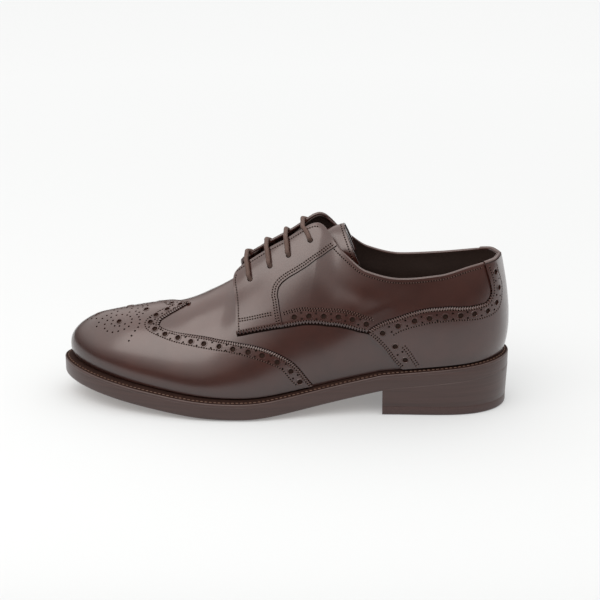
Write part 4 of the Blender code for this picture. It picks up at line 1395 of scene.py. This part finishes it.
# %% Broguing
BIG_HOLE = 1.7
PIN_HOLE = 0.68
HOLE_DEPTH = 1.05
PIN_STEP = 1.9
RIM_OUT = 0.34
RIM_THICK = 0.40
RIM_SIDES = 20
FLOOR_OUT = 0.1
FLOOR_SIDES = 12
ON_AXIS = 1.5
TOE_GRID_ROUND = (0.37, 0.63, 700)
TOE_GRID_RISE = (0.4, 1.0, 240)
WING_HOLES = [  # round, rise
    (75.0, 100.0), (77.3, 94.7), (79.1, 86.2), (79.6, 74.8), (78.1, 64.3), (75.6, 57.5), (72.8, 52.5),
    (70.1, 46.8), (67.5, 43.2), (64.4, 39.2), (61.5, 35.2), (58.3, 31.2), (55.3, 27.6), (51.7, 22.2),
    (48.4, 15.5), (46.2, 7.2),
]
COUNTER_HOLES = [
    (30.1, 42.0), (27.0, 50.5), (23.4, 55.5), (20.1, 57.0), (16.8, 57.2), (13.9, 55.2), (11.3, 54.2),
    (8.7, 54.4), (6.7, 60.0), (5.7, 73.2), (6.4, 88.8),
]
LEG_HOLES = [(27.1, 26.8), (24.8, 11.2)]
QUARTER_HOLES = [(49.8, 41.8), (46.6, 42.5), (43.7, 46.8), (40.6, 50.6), (37.2, 52.2), (33.9, 50.0)]
MEDALLION_AXIS = [(-129.1, 3.1), (-95.0, -4.4)]
MEDALLION_SIDE = (-112.2, -11.2)
MEDALLION_PINS = [  # along and across the toe
    (-103.9, -25.2), (-102.3, -23.1), (-100.3, -20.8), (-98.4, -19.0), (-97.8, -16.6), (-97.8, -13.9),
    (-98.9, -11.4), (-100.6, -8.8), (-101.9, -4.8), (-118.6, -5.6), (-115.0, -4.6), (-111.1, -5.3),
    (-107.4, -7.1), (-105.0, -9.3), (-103.4, -12.2), (-103.4, -14.7), (-104.8, -17.1), (-107.9, -18.1),
    (-111.9, -18.2), (-115.9, -17.5), (-119.6, -15.5), (-121.9, -13.1), (-122.2, -10.1), (-120.8, -7.6),
    (-116.8, -9.0), (-117.4, -11.5), (-114.9, -13.8), (-111.5, -15.0), (-108.0, -14.5), (-127.8, -9.5),
    (-126.6, -7.1), (-124.7, -4.6), (-121.9, -2.6), (-118.9, -1.3), (-114.9, -0.2), (-136.1, 1.9),
    (-132.7, -0.6), (-129.0, -2.8), (-96.5, -8.9), (-99.3, -6.8), (-106.3, -4.3),
]
print(len(WING_HOLES), "big holes along each wing")

# %% Rows of holes


def toe_places(plan):
    """Places on the wing cap under points given in plan, found on a fine grid of the toe."""
    t, v = np.meshgrid(np.linspace(*TOE_GRID_ROUND), np.linspace(*TOE_GRID_RISE), indexing="ij")
    grid = surface(t, v)[..., :2].reshape(-1, 2)
    t, v = t.ravel(), v.ravel()
    nearest = np.array([np.argmin(((grid - spot)**2).sum(-1)) for spot in plan])
    rows = []
    for side in (-1.0, 1.0):
        own = nearest[side_of(t[nearest]) == side]
        if len(own):
            rows.append(places_on((share_of(t[own]), v[own]), side, WING))
    return join_places(rows)


def mirrored(spots):
    """Points in plan and, unless they lie on it, their likenesses across the ornament's middle line."""
    start, end = np.array(MEDALLION_AXIS)
    across = unit(np.array([start[1] - end[1], end[0] - start[0]]))
    away = (spots - start) @ across
    return np.concatenate([spots, (spots - 2.0 * away[:, None] * across)[np.abs(away) > ON_AXIS]])


def medallion():
    """Big and small holes of the toe ornament."""
    big = np.array(MEDALLION_AXIS + [MEDALLION_SIDE])
    return toe_places(mirrored(big)), toe_places(mirrored(np.array(MEDALLION_PINS)))


def brogue_row(path, side, layer):
    """Big holes where a path is drawn through, and a pair of small ones across the middle of each gap."""
    big = places_on([values[::DRAWN_STEPS] for values in path], side, layer)
    across = [inset(*path, side, step) for step in (PIN_STEP, -PIN_STEP)]
    middle = slice(DRAWN_STEPS // 2, None, DRAWN_STEPS)
    pins = [places_on([values[middle] for values in row], side, layer) for row in across]
    return big, join_places(pins)


def wing_row(side):
    """Row of holes along the wing; the one at the peak stands on the middle line and is punched once."""
    share, rise = drawn(WING_HOLES)
    big, pins = brogue_row((share, leaned(share, rise, side)), side, WING)
    return (big if side < 0.0 else Places(*[values[1:] for values in big])), pins


print("a row has big holes with a pair of small ones between them")

# %% Punch the holes


def shaded_hole_floor(radius, places):
    """Disc at the bottom of every hole: the leather behind it, coloured as painted shade."""
    x, y = ring(radius + FLOOR_OUT, FLOOR_SIDES)
    disc = np.stack([x, y, np.full(FLOOR_SIDES, -HOLE_DEPTH)], axis=-1)
    return repeat(disc, disc_quads(FLOOR_SIDES), places)


def punch_all():
    """Punch every piece and collect the places of the holes for their rims and floors."""
    jobs = []
    counter_rows = []
    for _, side in SIDES:
        counter_rows += [brogue_row(drawn(points), side, COUNTER) for points in (COUNTER_HOLES, LEG_HOLES)]
        jobs.append((quarters[side], [brogue_row(drawn(QUARTER_HOLES), side, QUARTER)]))
    jobs.append((wing_cap, [wing_row(side) for _, side in SIDES] + [medallion()]))
    jobs.append((counter, counter_rows))
    all_big, all_pins = [], []
    for piece, rows in jobs:
        big, pins = [join_places(kind) for kind in zip(*rows)]
        drill(piece, [(big, BIG_HOLE), (pins, PIN_HOLE)])
        all_big.append(big)
        all_pins.append(pins)
    big, pins = join_places(all_big), join_places(all_pins)
    rims = repeat(*rim_pattern(BIG_HOLE + RIM_OUT, RIM_THICK, RIM_SIDES), big)
    add_mesh("hole_rims", *rims, TRIM_CALF, "burnished_calf_trim")
    # Floors of the holes: discs of painted shade.
    points, quads = shaded_hole_floor(BIG_HOLE, big)
    pin_points, pin_quads = shaded_hole_floor(PIN_HOLE, pins)
    quads = np.concatenate([quads, pin_quads + len(points)])
    add_mesh("hole_floors_painted_shade", np.concatenate([points, pin_points]), quads, HOLE_FLOOR_SHADE, "lining_leather")
    print(len(big.point), "big holes punched")


punch_all()

# %% [markdown]
# ## Rolled edges
#
# At the collar and along the lacing the leather and its lining are folded over each other, which leaves a soft
# round edge. It is a half circle carried along the edge, from the outer face over to the inner one.

# %% Rolled edges
ROLL_STEPS = 9
ROLL_SAMPLES = 160
ROLL_BULGE = 0.85
ROLL_TAPER = 0.025
ROLL_AT_BACK = 0.1
COLLAR_INNER = VAMP.inner + COLLAR_THIN
Roll = namedtuple("Roll", "name start end outer inner lifted nose material slot")
ROLLS = [
    Roll("collar", 0.085, 0.470, QUARTER.outer, COLLAR_INNER, True, False, CALF, "burnished_calf"),
    Roll("back_strip", 0.0, 0.087, COUNTER.outer, COLLAR_INNER, True, False, CALF, "burnished_calf"),
    Roll("facing", 0.437, 0.628, FACING.outer, QUARTER.inner, True, False, CALF, "burnished_calf"),
    # The slot's rolled edge wears the dark lining, which paints the shade in the slot.
    Roll("slot", 0.455, 0.665, VAMP.outer, COLLAR_INNER, False, True, LINING_AND_SHADE, "lining_leather"),
]


def facing_away(grid, inside):
    """A grid with its columns in the order that turns its faces away from the inside points."""
    normal = np.cross(grid[:-1, 1:] - grid[:-1, :-1], grid[1:, :-1] - grid[:-1, :-1])
    outside = (normal * (grid - inside)[:-1, :-1]).sum()
    return grid if outside > 0.0 else grid[:, ::-1]


def join_grids(grids, round_rows=False, round_columns=False):
    """Points and quads of several grids as one mesh."""
    points, quads, first = [], [], 0
    for grid in grids:
        points.append(grid.reshape(-1, 3))
        quads.append(grid_quads(*grid.shape[:2], round_rows, round_columns) + first)
        first += len(points[-1])
    return np.concatenate(points), np.concatenate(quads)


def roll_grid(row, side):
    """Half circle carried along the collar or slot; its ends run out to nothing, save at the back strip."""
    share = np.linspace(row.start, row.end, ROLL_SAMPLES)
    base, _, up, out = layer_frame(share, edge_at(share, side, row.nose), side, 0.0, row.lifted)
    up = unit(up - (up * out).sum(-1, keepdims=True) * out)
    a = np.linspace(0.0, math.pi, ROLL_STEPS)[:, None]
    middle = 0.5 * (row.outer + row.inner)
    start = smooth_step(share, row.start, row.start + ROLL_TAPER) if row.start > ROLL_AT_BACK else 1.0
    end = 1.0 - smooth_step(share, row.end - ROLL_TAPER, row.end) if row.end > ROLL_AT_BACK else 1.0
    half = np.broadcast_to(0.5 * (row.outer - row.inner) * start * end, share.shape)[:, None, None]
    axis = base[:, None, :] + middle * out[:, None, :]
    over = np.cos(a) * out[:, None, :] + ROLL_BULGE * np.sin(a) * up[:, None, :]
    return facing_away(axis + half * over, axis)


for row in ROLLS:
    grids = [roll_grid(row, side) for _, side in SIDES]
    add_mesh(f"{row.name}_edge", *join_grids(grids), row.material, row.slot)
print(len(ROLLS), "rolled edges")

# %% [markdown]
# ## Tongue
#
# The tongue is a sheet bent like a low roof under the lacing. Its ridge line is a short table, and its section
# is a rounded gable that stands square on that line.

# %% Tongue
Tongue = namedtuple("Tongue", "x height half")
TONGUE_ROWS = [
    Tongue(-40.0, 73.5, 14.0),
    Tongue(-22.0, 82.5, 16.0),
    Tongue(-6.0, 94.5, 18.0),
    Tongue(8.0, 105.0, 18.0),
    Tongue(22.0, 114.5, 16.0),
    Tongue(30.0, 118.8, 16.0),
    Tongue(37.0, 121.2, 18.0),
]
TONGUE_PITCH = 1.2
TONGUE_ROUND = 7.0
TONGUE_THICK = 1.5
TONGUE_SKEW = 0.13
TONGUE_SKEW_FROM = 8.0
TONGUE_SKIRT = 9.0
TONGUE_GRID = (70, 49)


def tongue_points(along, across):
    """Point of the tongue's upper face; across runs from -1 to 1."""
    x = column(TONGUE_ROWS, "x")
    ridge = list(zip(x, column(TONGUE_ROWS, "height")))
    height = through(ridge, along)
    step = 0.5
    at_end = (along + step > x[-1]) | (along - step < x[0])
    climb = through(ridge, along + step) - through(ridge, along - step)
    slope = climb / np.where(at_end, step, 2.0 * step)
    run = np.hypot(1.0, slope)
    turn = 0.5 * math.pi * across
    y = through(list(zip(x, column(TONGUE_ROWS, "half"))), along) * np.sin(turn)
    gable = np.sqrt((TONGUE_PITCH * y)**2 + TONGUE_ROUND**2) - TONGUE_ROUND
    drop = gable + TONGUE_SKIRT * (1.0 - np.cos(turn))**3
    skew = TONGUE_SKEW * smooth_step(along, TONGUE_SKEW_FROM, x[-1]) * (across < 0.0)
    back = along + drop * (slope / run + skew)
    return np.stack([back, y, height - drop / run], axis=-1)


def tongue_normal(along, across):
    """Upward normal of the tongue."""
    far, turn = 0.1, 0.02
    ahead = tongue_points(along + far, across) - tongue_points(along - far, across)
    aside = tongue_points(along, across + turn) - tongue_points(along, across - turn)
    return unit(np.cross(ahead, aside))


def add_tongue():
    """Tongue as a sheet with an upper and a lower face."""
    rows, columns = TONGUE_GRID
    stations = np.linspace(TONGUE_ROWS[0].x, TONGUE_ROWS[-1].x, rows)
    along, across = np.meshgrid(stations, np.linspace(-1.0, 1.0, columns), indexing="ij")
    upper = tongue_points(along, across)
    normal = tongue_normal(along, across)
    lower = upper - TONGUE_THICK * normal
    quads = turned_out(shell_quads(*along.shape), upper, normal)
    points = np.concatenate([upper.reshape(-1, 3), lower.reshape(-1, 3)])
    add_mesh("tongue_leather", points, quads, CALF, "burnished_calf", ["tongue"])
    print("tongue", len(quads), "quads")


add_tongue()

# %% [markdown]
# ## Stitching
#
# Each stitch is a short bar of waxed thread that dips into the leather at both ends; between it and the next,
# the needle hole is a dark disc of painted shade. The rows follow the edges at the distances a stitcher keeps,
# and all of the stitches together make two meshes, one of thread and one of painted shade at the needle holes.

# %% Stitching
STITCH_PITCH = 1.75
STITCH_LENGTH = 1.15
STITCH_HALF = 0.24
STITCH_HEIGHT = 0.16
# Size of the dark discs of painted shade at the needle holes.
PIT_LONG = 0.55
PIT_WIDE = 0.53
PIT_SIDES = 8
PIT_PROUD = 0.04
WING_LOWER = [
    (76.1, 100.0), (77.9, 97.0), (78.8, 93.0), (79.9, 87.0), (80.5, 81.0), (80.7, 74.5), (80.2, 67.0),
    (78.7, 60.0), (75.1, 52.2), (68.1, 41.2), (63.0, 35.2), (57.7, 28.3), (54.1, 23.5), (50.6, 18.2),
    (47.9, 9.2), (46.5, 4.0),
]
COUNTER_LOWER = [
    (28.1, 38.8), (26.9, 43.0), (25.4, 46.2), (23.1, 49.2), (21.4, 50.8), (19.2, 52.2), (17.0, 52.2),
    (14.4, 50.9), (12.3, 49.2), (10.5, 48.4), (8.4, 49.2), (6.6, 52.2), (5.7, 56.2), (4.8, 64.0),
    (4.3, 74.2), (4.8, 83.2), (5.4, 90.8), (5.6, 97.2),
]
LEG_RIGHT = [(25.5, 25.2), (24.3, 17.5), (23.4, 10.2), (22.6, 4.2)]
FACING_STRIP = [(61.9, 51.0), (58.5, 48.2), (54.6, 46.0)]
EDGE_POINTS = 400
FOOT_POINTS = 240
FRONT_POINTS = 160
COLLAR_POINTS = 260
CARRIED_STEPS = 16


def foot_path(start, end):
    """Foot edge of a quarter as a path from the heel towards the toe."""
    share = np.linspace(start, end, FOOT_POINTS)
    return share, through(QUARTER_FOOT, 100.0 * share) / 100.0


def longer(path, start, end):
    """Path carried on straight at its two ends, by shares of its number of steps."""
    places = np.stack(path, axis=1)
    count = len(places)
    grow = np.linspace(1.0, 0.0, CARRIED_STEPS, endpoint=False)[:, None]
    head = places[0] + grow * start * count * (places[0] - places[1])
    tail = places[-1] + grow[::-1] * end * count * (places[-1] - places[-2])
    return tuple(np.concatenate([head, places, tail]).T)


def wing_path(side):
    """Wing cap's edge from the welt to its peak."""
    share, rise = wing_edge(EDGE_POINTS)
    return share, leaned(share, rise, side)


def counter_path():
    """Counter's edge from the welt up its leg and along its top to the collar."""
    _, top, rise = counter_edge(EDGE_POINTS)
    return top[rise < TEETH_TO], rise[rise < TEETH_TO]


def leg_path():
    """Front edge of the counter's leg from the welt up to the peak."""
    share, rise = counter_path()
    peak = int(np.argmax(share))
    return share[:peak], rise[:peak]


def front_path(table, side, low=0.02, high=0.97):
    """Front edge of a quarter or rear edge of its facing, going up."""
    up = np.linspace(low, high, FRONT_POINTS)
    share = through(table, 100.0 * up) / 100.0
    _, rise = quarter_place(share, up, side)
    return share, rise


def collar_path(side, start, end):
    """Collar or slot edge from the heel towards the toe."""
    share = np.linspace(start, end, COLLAR_POINTS)
    return share, edge_at(share, side)


print(STITCH_PITCH, "mm from stitch to stitch")

# %% Dyed edges and painted shadow
# Dark strips along the cut edges: dye on the edges, and painted shadow where they reach out over the leather
# beneath.
EDGE_OUT = 0.12
FOOT_OUT = 0.9
REAR_OUT = 0.45
REAR_IN = 0.5
DYE_SHADOW_PROUD = 0.06
DYE_SHADOW_BEHIND_TEETH = 0.4
FOOT_DYE_SHADOW = (0.325, 0.6145)
REAR_DYE_SHADOW = (0.02, 0.99)
STRIP_LINES = 4


def edge_strip(path, side, depth, low, high, lifted=True):
    """Narrow strip along a path, from a distance on its right to one on its left."""
    rows = [inset(*path, side, step) for step in np.linspace(low, high, STRIP_LINES)]
    faces = [
        np.stack([on_layer(loop_place(share, side), rise, deep, lifted) for share, rise in rows], axis=1)
        for deep in (depth, depth - 1.0)
    ]
    return facing_away(*faces)


def add_edge_dye_and_shadow():
    """Dark dye on the cut edges and painted shadow under them: dark between the teeth and as a thin line
    outside them.
    """
    on_vamp = VAMP.outer + DYE_SHADOW_PROUD
    on_quarter = QUARTER.outer + DYE_SHADOW_PROUD
    deep = GIMP_DEPTH + DYE_SHADOW_BEHIND_TEETH
    strips = []
    for _, side in SIDES:
        rear = front_path(FACING_REAR, side, *REAR_DYE_SHADOW)
        strips.append(edge_strip(foot_path(*FOOT_DYE_SHADOW), side, on_vamp, -FOOT_OUT, deep))
        strips.append(edge_strip(counter_path(), side, on_quarter, -EDGE_OUT, deep))
        strips.append(edge_strip(rear, side, on_quarter, -REAR_IN, REAR_OUT))
        strips.append(edge_strip(wing_path(side), side, on_vamp, -deep, EDGE_OUT, False))
    add_mesh("edge_dye_and_shadow", *join_grids(strips), EDGE_DYE_AND_SHADOW, "burnished_calf_trim")
    print(len(strips), "dyed edges")


add_edge_dye_and_shadow()

# %% Thread and needle holes
WING_ROW = 2.1
COUNTER_ROW = 2.2
LEG_ROW = 0.7
LEG_REAR_ROWS = (0.0, 2.0)
QUARTER_ROWS = (3.6, 5.0)
FOOT_ROW = 2.2
REAR_ROWS = (1.4, 3.0)
STRIP_ROWS = (-0.8, 0.8)
FRONT_ROW = 2.3
SLOT_ROW = 2.0
COLLAR_ROW = 2.2
TONGUE_ROW = 2.2
TONGUE_ROW_ACROSS = (-0.94, 0.94, 160)
LEG_REAR_CARRIED = (0.1, 0.3)
HOLES_CARRIED = (0.14, 0.10)
FRONT_SEAM = (0.04, 0.96)
QUARTER_FOOT_SEAM = (0.335, 0.518)
FACING_FOOT_SEAM = (0.530, 0.614)
SLOT_SEAM = (0.470, 0.638)
COLLAR_SEAM = (0.092, 0.470)


def seam_rows(side):
    """Every row of stitches on one side: path and layer."""
    share, rise = drawn(WING_LOWER)
    leg_rear = longer(drawn(LEG_RIGHT), *LEG_REAR_CARRIED)
    holes = longer(drawn(QUARTER_HOLES), *HOLES_CARRIED)
    rear = front_path(FACING_REAR, side)
    front = front_path(QUARTER_FRONT, side, *FRONT_SEAM)
    rows = [(inset(*wing_path(side), side, -WING_ROW), WING), ((share, leaned(share, rise, side)), WING)]
    rows.append((inset(*counter_path(), side, COUNTER_ROW), COUNTER))
    rows += [(drawn(COUNTER_LOWER), COUNTER), (inset(*leg_path(), side, LEG_ROW), COUNTER)]
    rows += [(inset(*leg_rear, side, -away), COUNTER) for away in LEG_REAR_ROWS]
    rows += [(inset(*holes, side, -away), QUARTER) for away in QUARTER_ROWS]
    rows.append((inset(*foot_path(*QUARTER_FOOT_SEAM), side, FOOT_ROW), QUARTER))
    rows.append((inset(*foot_path(*FACING_FOOT_SEAM), side, FOOT_ROW), FACING))
    rows += [(inset(*rear, side, -away), FACING) for away in REAR_ROWS]
    rows += [(inset(*drawn(FACING_STRIP), side, away), FACING) for away in STRIP_ROWS]
    rows.append((inset(*front, side, FRONT_ROW), FACING))
    rows.append((inset(*collar_path(side, *SLOT_SEAM), side, -SLOT_ROW), FACING))
    rows.append((inset(*collar_path(side, *COLLAR_SEAM), side, -COLLAR_ROW), QUARTER))
    return rows


def tongue_trace():
    """Row of stitches along the back edge of the tongue."""
    across = np.linspace(*TONGUE_ROW_ACROSS)
    along = np.full(across.shape, TONGUE_ROWS[-1].x - TONGUE_ROW)
    point = tongue_points(along, across)
    return point, tongue_normal(along, across), distance_along(point)


def add_stitches():
    """Thread of all rows, and discs of painted shade at their needle holes."""
    traces = [trace(path, side, layer) for _, side in SIDES for path, layer in seam_rows(side)]
    traces.append(tongue_trace())
    threads, pit_shades = [], []
    for point, normal, run in traces:
        count = max(int(run[-1] / STITCH_PITCH), 2)
        at = STITCH_PITCH * (0.5 + np.arange(count))
        threads.append(places_at(point, normal, run, at))
        pit_shades.append(places_at(point, normal, run, at[:-1] + 0.5 * STITCH_PITCH))
    threads = join_places(threads)
    pit_shades = join_places(pit_shades)
    pattern = stitch_pattern(STITCH_LENGTH, STITCH_HALF, STITCH_HEIGHT)
    add_mesh("stitches", *repeat(*pattern, threads), THREAD, "waxed_lace_cotton")
    # Needle holes: flat dark discs of painted shade, just proud of the leather.
    x, y = ring(1.0, PIT_SIDES)
    disc = np.stack([PIT_LONG * x, PIT_WIDE * y, np.full(PIT_SIDES, PIT_PROUD)], axis=-1)
    add_mesh("needle_hole_shade_discs", *repeat(disc, disc_quads(PIT_SIDES), pit_shades), NEEDLE_HOLE_SHADE, "burnished_calf_trim")
    print(len(threads.point), "stitches")


add_stitches()

# %% [markdown]
# ## Eyelets and lace
#
# The four bars of the lace come out of blind eyelets, cross the slot and go down into the eyelets opposite.
# Each bar is a circle carried along a smooth route. The free ends are hidden inside the shoe.

# %% Eyelets and lace
EYELET_HOLE = 1.9
EYELET_REACH = 4.5
LACE_RADIUS = 1.5
LACE_CLEAR = 0.15
LACE_ARCH = 0.4
LACE_SLANT = 0.7
LACE_SINK = 4.0
LACE_TURN = 1.2
LACE_STEPS = 5
LACE_LEAVES = 0.4
LACE_BRIDGE = np.array([[0.33], [0.67]])


def eyelet_places(side):
    """Places of the eyelets on one facing."""
    share = column(EYELETS, "round") / 100.0
    _, rise = quarter_place(share, column(EYELETS, "up") / 100.0, side)
    return places_on((share, rise), side, FACING)


def half_route(eyelet, side):
    """Route from inside an eyelet up to the edge of the slot."""
    step = np.linspace(0.0, 1.0, LACE_STEPS)
    edge = eyelet.edge_round + (LACE_SLANT if side > 0.0 else 0.0)
    share = (eyelet.round + (edge - eyelet.round) * step) / 100.0
    up = (eyelet.up + (100.0 - eyelet.up) * step) / 100.0
    t, v = quarter_place(share, up, side)
    over = on_layer(t, v, FACING.outer + LACE_RADIUS + LACE_CLEAR, True)
    sink = [on_layer(t[:1], v[:1], FACING.outer - depth, True) for depth in (LACE_SINK, LACE_TURN)]
    leaves = (1.0 - LACE_LEAVES) * over[:1] + LACE_LEAVES * over[1:2]
    return np.concatenate(sink + [leaves, over[1:]])


def tube(route, radius, steps=130, sides=16):
    """Circle carried along a smooth route, with the distance run along and round it."""
    run = distance_along(route)
    at = np.linspace(0.0, run[-1], steps)
    line = np.stack([through(list(zip(run, route[:, k])), at) for k in range(3)], axis=-1)
    ahead = unit(np.gradient(line, at, axis=0))
    toward = unit(np.array([1.0, 0.0, 0.0]) - ahead[:, :1] * ahead)
    a = np.linspace(0.0, 2.0 * math.pi, sides + 1)[None, :, None]
    aside = np.cross(ahead, toward)
    grid = line[:, None] + radius * (np.cos(a) * toward[:, None] + np.sin(a) * aside[:, None])
    uv = np.stack(np.broadcast_arrays(at[:, None], radius * a[..., 0]), axis=-1) * MM
    return facing_away(grid, line[:, None]), uv


def add_lace():
    """Cut the eyelets and lay the four bars."""
    for _, side in SIDES:
        places = eyelet_places(side)
        for piece in (facings[side], quarters[side]):
            drill(piece, [(places, EYELET_HOLE)], -EYELET_REACH)
    for number, eyelet in enumerate(EYELETS, start=1):
        outer = half_route(eyelet, -1.0)
        inner = half_route(eyelet, 1.0)[::-1]
        bridge = outer[-1] + (inner[0] - outer[-1]) * LACE_BRIDGE
        bridge[:, 2] += LACE_ARCH
        grid, uv = tube(np.concatenate([outer, bridge, inner]), LACE_RADIUS)
        quads = grid_quads(*grid.shape[:2])
        stands_for = [f"lace_bar_{number}"]
        add_mesh(f"lace_{number}", grid, quads, LACE, "waxed_lace_cotton", stands_for, uv=uv)
    print(len(EYELETS), "lace bars")


add_lace()

# %% [markdown]
# ## Welt, sole and heel
#
# The welt is a strip stitched round the foot of the upper, the outsole lies under it and the heel under that.
# Each is a section carried round the shoe's outline: a few places given as distance in from the edge and
# height. The seams between them are narrow grooves, and a row of thick thread runs along the welt.

# %% Welt and sole
BOTTOM_STEPS = 300
WELT_TOP = OUTSOLE_THICK + WELT_THICK + FIT_GAP
WELT_SECTION = [  # in from the edge, height over the underside
    (12.0, 12.7), (4.6, 12.7), (3.1, 12.1), (2.8, 11.75), (1.8, 11.45), (1.5, 11.6), (0.6, 11.2),
]
WELT_EDGE_SECTION = [
    (0.6, 11.2), (0.35, 11.1), (0.12, 10.85), (0.0, 10.4), (0.0, 9.4), (0.03, 9.25), (0.12, 9.15),
]
OUTSOLE_SECTION = [
    (0.12, 9.15), (0.03, 9.05), (0.0, 8.9), (0.0, 2.2), (0.12, 1.1), (0.5, 0.4), (1.2, 0.05), (1.6, 0.0),
]
WELT_STITCH = 2.9
WELT_STITCH_IN = 2.3
WELT_STITCH_DOWN = 1.15
WELT_STITCH_SIZE = (2.2, 0.42, 0.36)
INSOLE_IN = 4.1
INSOLE_THICK = 2.5
INSIDE_SOLE = np.array([0.0, 0.0, 20.0])


def bottom_loop():
    """Loop places round the sole in even shares."""
    share = np.linspace(0.0, 1.0, BOTTOM_STEPS)
    return around(0.5 * share, 1.0 - 0.5 * share)


def section_ring(section):
    """A section carried round the sole's outline: each of its places becomes a ring."""
    t = bottom_loop()
    rings = []
    for inside, height in section:
        plan = plan_outline(t, welt_reach(t) - inside)
        rings.append(np.column_stack([plan, bottom_height(plan[:, 0]) + height]))
    return np.stack(rings, axis=1)


def plate(reach, height, across=24):
    """Flat piece across the sole: straight lines from the outer to the inner outline."""
    share = np.linspace(0.0, 1.0, BOTTOM_STEPS)
    outer = plan_outline(loop_place(share, -1.0), reach(loop_place(share, -1.0)))
    inner = plan_outline(loop_place(share, 1.0), reach(loop_place(share, 1.0)))
    step = np.linspace(0.0, 1.0, across)[None, :, None]
    plan = outer[:, None] + (inner - outer)[:, None] * step
    return np.concatenate([plan, (bottom_height(plan[..., 0]) + height)[..., None]], axis=-1)


def add_bottom():
    """Welt, outsole and insole."""
    for name, section, material, stands_for in (
        ("welt_strip", WELT_SECTION, WELT_TOP_DYE_AND_SHADE, ["welt"]),
        ("welt_edge", WELT_EDGE_SECTION, EDGE, []),
        ("outsole_edge", OUTSOLE_SECTION, EDGE, ["outsole"]),
    ):
        grid = facing_away(section_ring(section), INSIDE_SOLE)
        add_mesh(name, *join_grids([grid], True), material, "stained_sole_leather", stands_for)
    tread = plate(lambda t: welt_reach(t) - OUTSOLE_SECTION[-1][0], 0.0)
    add_mesh("outsole_tread", *join_grids([facing_away(tread, INSIDE_SOLE)]), TREAD, "stained_sole_leather")
    top = plate(lambda t: np.full(t.shape, -INSOLE_IN), WELT_TOP + FIT_GAP + INSOLE_THICK)
    add_mesh("sock", *join_grids([facing_away(top, -INSIDE_SOLE)]), LINING_AND_SHADE, "lining_leather", ["insole"])
    print("welt, outsole and insole")


def add_welt_stitches():
    """Row of thick thread in the welt's groove."""
    t = np.append(bottom_loop(), 1.0)
    plan = plan_outline(t, welt_reach(t) - WELT_STITCH_IN)
    point = np.column_stack([plan, bottom_height(plan[:, 0]) + WELT_TOP - WELT_STITCH_DOWN])
    run = distance_along(point)
    count = int(run[-1] / WELT_STITCH)
    up = np.tile([0.0, 0.0, 1.0], (len(t), 1))
    places = places_at(point, up, run, run[-1] * (np.arange(count) + 0.5) / count)
    stitches = repeat(*stitch_pattern(*WELT_STITCH_SIZE), places)
    add_mesh("welt_stitches", *stitches, WELT_THREAD, "stained_sole_leather")
    print(count, "welt stitches")


add_bottom()
add_welt_stitches()

# %% Heel
HEEL_SHARE = 0.45
HEEL_SAMPLES = 400
HEEL_COLUMNS = 90
HEEL_LINES = 9
HEEL_TAPER = 0.8
HEEL_MIDDLE = np.array([105.0, 0.0, 10.0])
LIFTS_FOOT = 6.15
LIFT_RINGS = [  # how far down from the sole to the top piece, in from the edge
    (-0.12, 0.3), (-0.10, 0.0), (0.03, 0.0), (0.1, 0.0), (0.5, 0.0), (0.99, 0.0), (1.0, 0.06),
]
TOP_PIECE_RINGS = [  # height, in from the edge
    (6.1, 0.2), (6.08, 0.03), (6.0, 0.0), (1.6, 0.0), (0.7, 0.25), (0.2, 0.8), (0.0, 1.7),
]


def heel_sides(reach):
    """Heel outline seen from above: outer and inner side, each from the back to the straight breast."""
    share = np.linspace(0.0, HEEL_SHARE, HEEL_SAMPLES)
    sides = []
    for _, side in SIDES:
        t = loop_place(share, side)
        plan = plan_outline(t, welt_reach(t) + reach)
        until = np.interp(-HEEL_BREAST_X, -plan[:, 0], share)
        at = np.linspace(0.0, until, HEEL_COLUMNS)
        sides.append(np.column_stack([np.interp(at, share, plan[:, k]) for k in (0, 1)]))
    return sides


def heel_ring(reach, height):
    """Closed outline of the heel at a height that may follow the sole."""
    outer, inner = heel_sides(reach)
    breast = outer[-1] + (inner[-1] - outer[-1]) * np.linspace(0.0, 1.0, HEEL_LINES)[1:-1, None]
    plan = np.concatenate([outer, breast, inner[:0:-1]])
    return np.column_stack([plan, np.broadcast_to(height(plan[:, 0]), len(plan))])


def add_heel():
    """Heel stack under the outsole and the top piece under it."""
    rings = [
        heel_ring(-HEEL_TAPER * down - inside, lambda x: bottom_height(x) * (1.0 - down) + LIFTS_FOOT * down)
        for down, inside in LIFT_RINGS
    ]
    stack = facing_away(np.stack(rings, axis=1), HEEL_MIDDLE)
    add_mesh("heel_lifts", *join_grids([stack], True), EDGE, "stained_sole_leather", ["heel_stack"])
    rings = [
        heel_ring(-HEEL_TAPER - inside, lambda x: np.full(x.shape, height))
        for height, inside in TOP_PIECE_RINGS
    ]
    sides = facing_away(np.stack(rings, axis=1), HEEL_MIDDLE)
    add_mesh("heel_top_lift", *join_grids([sides], True), RUBBER, "heel_rubber", ["heel_top_piece"])
    outer, inner = heel_sides(-HEEL_TAPER - TOP_PIECE_RINGS[-1][1])
    step = np.linspace(0.0, 1.0, HEEL_LINES)[None, :, None]
    under = outer[:, None] + (inner - outer)[:, None] * step
    under = np.concatenate([under, np.zeros(under.shape[:2] + (1,))], axis=-1)
    add_mesh("heel_tread", *join_grids([facing_away(under, HEEL_MIDDLE)]), RUBBER, "heel_rubber")
    print("heel of", len(rings[0]), "columns")


add_heel()

# %% [markdown]
# ## The end

# %% The end
print("scene built")
